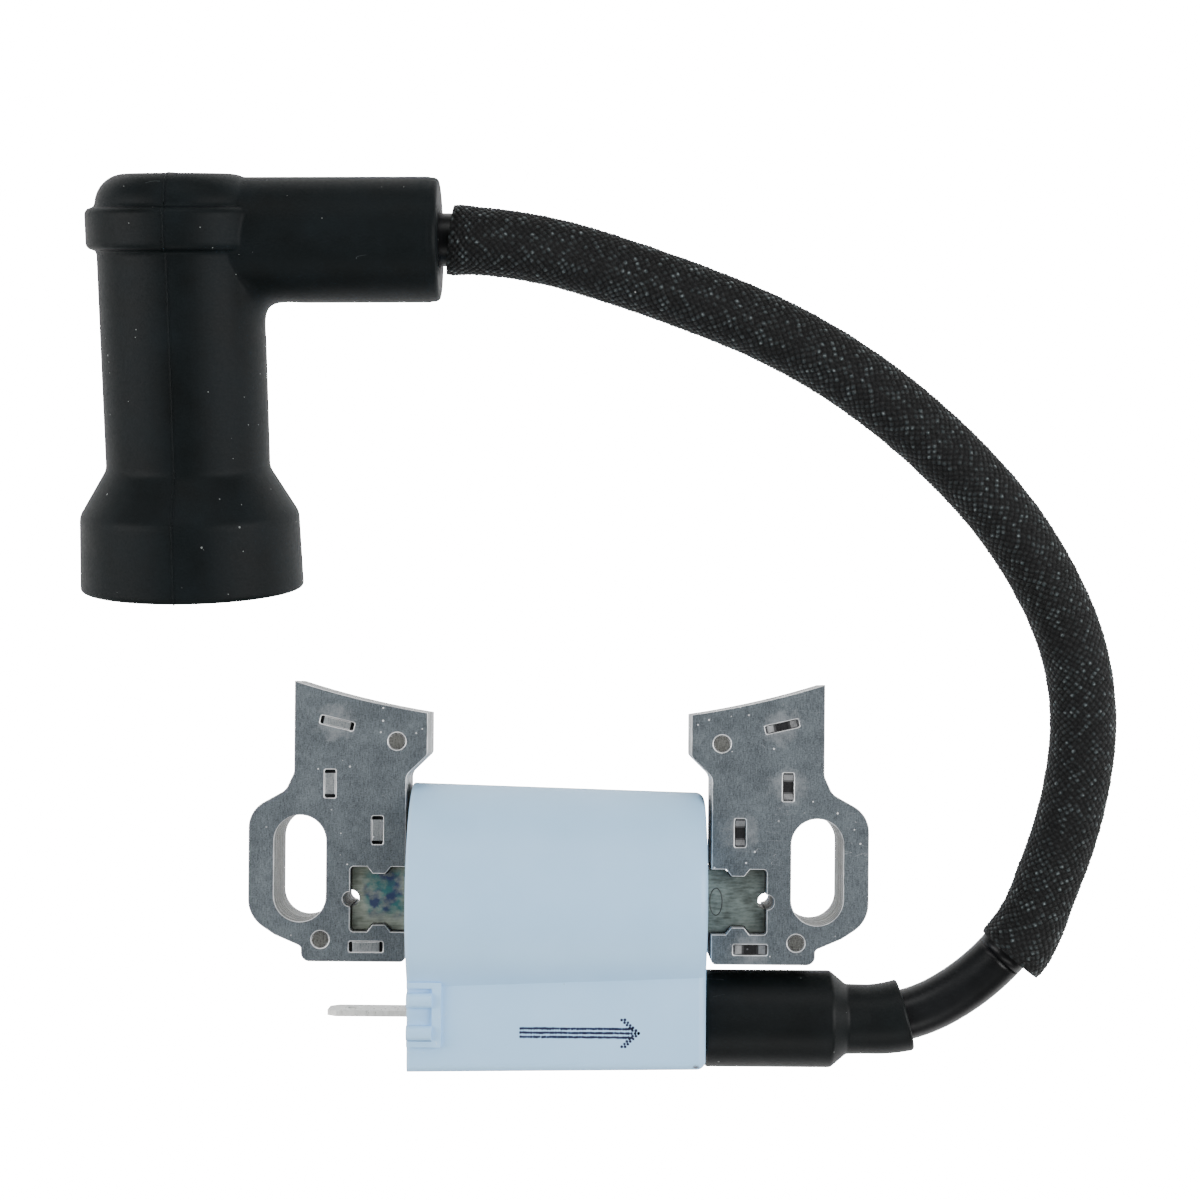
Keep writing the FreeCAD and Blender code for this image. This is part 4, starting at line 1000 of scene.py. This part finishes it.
def pushed_back(place):
    """The surface of an interlock seen from its punched-out side: a low crown."""
    return 0.03 - 0.06 * (2 * place) ** 4


CORE_MARK_PLACE = (21.4, -4.2)
CORE_MARK_RINGS = [(0.90, -0.3), (0.91, 0.01), (0.84, 0.02), (0.77, 0.01), (0.76, -0.3)]  # radius, level


def build_core():
    """The centre core's sheets, through the housing and into both legs, and an oval mark on them."""
    node = "centre_core_laminations"
    face = flat_face(node, CORE_TOP)
    count = int(round((CORE_TOP - CORE_LOW) / SHEET))
    points, faces = joined(sheet_stack(face, CORE_LOW, count, 0.012, CORE_GAP))
    core = new_piece("core_sheets", points, faces, CORE, "core_steel", smooth=False)
    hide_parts(node)
    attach(core, "coil")
    rings = []
    x, y = CORE_MARK_PLACE
    for radius, level in CORE_MARK_RINGS:
        rings.append([(x + radius * math.cos(a), y + (1.0 + radius) * math.sin(a), CORE_TOP + level)
                      for a in full_turn(48)])
    mark = new_piece("core_interlock_mark", *skin(rings, loop=True), CORE_MARK, "core_steel")
    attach(mark, "coil")


# ---- housing ----

CASE_FRONT = 16.8
ARROW = (-4.8, 10.9, -21.25)  # tail and tip along X, and the height of its middle
DOT_PITCH = 0.36
DOT_RADIUS = 0.205
SHAFT_ROW = 0.56  # between the shaft's three rows of dots


def build_arrow():
    """A plain arrow printed in dots towards the lead's side."""
    tail, tip, middle = ARROW
    places = []
    for row in (-1, 0, 1):
        for x in np.arange(tail, tip - 0.9, DOT_PITCH):
            places.append((x, middle + row * SHAFT_ROW))
    for step in range(6):
        for sign in (-1, 1):
            for row in (0, 1):
                places.append((tip - step * DOT_PITCH - row * 0.45, middle + sign * step * DOT_PITCH))
    dots = []
    for x, y in places:
        radius = DOT_RADIUS + random.uniform(-0.02, 0.02)
        shift_x, shift_y = random.uniform(-0.03, 0.03), random.uniform(-0.03, 0.03)
        dot = circle(x + shift_x, y + shift_y, radius, 10)
        dots.append(slab(dot, CASE_FRONT - 0.02, CASE_FRONT + 0.012))
    arrow = new_piece("printed_arrow", *joined(dots), INK, "case_plastic", smooth=False)
    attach(arrow, "coil")


def polish(node, width):
    """Round a CAD node's sharp edges with modifiers."""
    piece = frame["nodes"][node]
    custom = piece.data.attributes.get("custom_normal")
    if custom:
        piece.data.attributes.remove(custom)
    piece.data.polygons.foreach_set("use_smooth", [True] * len(piece.data.polygons))
    weld = piece.modifiers.new("weld", "WELD")
    weld.merge_threshold = 1e-6
    bevel = piece.modifiers.new("edge", "BEVEL")
    bevel.width = width * MM
    bevel.segments = 2
    bevel.limit_method = "ANGLE"
    bevel.angle_limit = math.radians(30)
    bevel.use_clamp_overlap = True
    bevel.harden_normals = True
    return piece


# ---- stage ----

FLOOR = -70.0  # below the reach of the cap when the lead hangs down
SEEN_WHITE = 18.0  # strength at which the camera sees pure white
FLOOR_LIGHT = 0.50  # how strongly the floor lights the part
SURROUND_LIGHT = 0.22  # and the surround
SOFT_BOXES = [  # name, place, width and length, power in watts
    ("left_box", (-430, 60, 300), (260, 480), 2.7), ("right_box", (430, 60, 300), (260, 480), 3.4),
    ("top_box", (0, 480, 330), (520, 200), 1.2), ("bottom_box", (0, -480, 330), (520, 200), 1.3),
]
CAMERA_PLACE = (5.0, 24.72, 324.0)
CAMERA_TURN = 0.465  # degrees about the view
CAMERA_LENS = 69.2  # for a sensor 36 wide
CAMERA_SHIFT = (0.0025, 0.0733)


def build_stage():
    """A pale floor, a soft white surround, four soft boxes and a camera square above."""
    world = bpy.data.worlds.new("surround")
    world.use_nodes = True
    background = world.node_tree.nodes["Background"]
    background.inputs["Color"].default_value = (1.0, 1.0, 1.0, 1.0)
    ray = world.node_tree.nodes.new("ShaderNodeLightPath").outputs["Is Camera Ray"]
    strength = world.node_tree.nodes.new("ShaderNodeMapRange")
    strength.inputs["To Min"].default_value = SURROUND_LIGHT
    strength.inputs["To Max"].default_value = SEEN_WHITE
    world.node_tree.links.new(ray, strength.inputs["Value"])
    world.node_tree.links.new(strength.outputs["Result"], background.inputs["Strength"])
    bpy.context.scene.world = world
    corners = [(-900, -900), (900, -900), (900, 900), (-900, 900)]
    floor = slab(corners, FLOOR - 5, FLOOR)
    s = Shader("pale_floor")
    cloud = s.noise(60.0, 2.0)
    colour = s.mix(cloud, (0.86, 0.865, 0.87), (0.9, 0.9, 0.9))
    seen = s.add("ShaderNodeLightPath").outputs["Is Camera Ray"]
    glow = s.span(seen, 0.0, 1.0, FLOOR_LIGHT, SEEN_WHITE)
    floor_material = s.finish(colour, 0.7, Emission_Color=(1.0, 1.0, 1.0), Emission_Strength=glow)
    new_piece("floor", *floor, floor_material, smooth=False)
    for name, place, size, power in SOFT_BOXES:
        data = bpy.data.lights.new(name, "AREA")
        data.shape = "RECTANGLE"
        data.size, data.size_y = size[0] * MM, size[1] * MM
        data.energy = power
        light = bpy.data.objects.new(name, data)
        light.location = Vector(place) * MM
        aim = Vector((0, 20, 0)) * MM - light.location
        light.rotation_euler = aim.to_track_quat("-Z", "Y").to_euler()
        bpy.context.scene.collection.objects.link(light)
    camera_data = bpy.data.cameras.new("camera")
    camera_data.sensor_width = 36.0
    camera_data.lens = CAMERA_LENS
    camera_data.shift_x, camera_data.shift_y = CAMERA_SHIFT
    camera_data.clip_start = 0.01
    camera = bpy.data.objects.new("camera", camera_data)
    camera.location = Vector(CAMERA_PLACE) * MM
    camera.rotation_euler = (0, 0, math.radians(CAMERA_TURN))
    bpy.context.scene.collection.objects.link(camera)
    bpy.context.scene.camera = camera


# ---- building the scene ----

for cad_name, cad_material in NODE_MATERIALS.items():
    node_mesh = frame["nodes"][cad_name].data
    node_mesh.materials.clear()
    node_mesh.materials.append(cad_material)

ROUNDED_NODES = {"coil_housing": 0.18, "stop_terminal": 0.10, "left_pole_rivets": 0.12,
                 "right_pole_rivets": 0.12, "potting_resin": 0.05}
for cad_name, edge_width in ROUNDED_NODES.items():
    polish(cad_name, edge_width)
build_leg(-1, "left")
build_leg(1, "right")
build_core()
build_arrow()
build_boot()
build_lead()
build_sleeve()
build_cap()
build_stage()
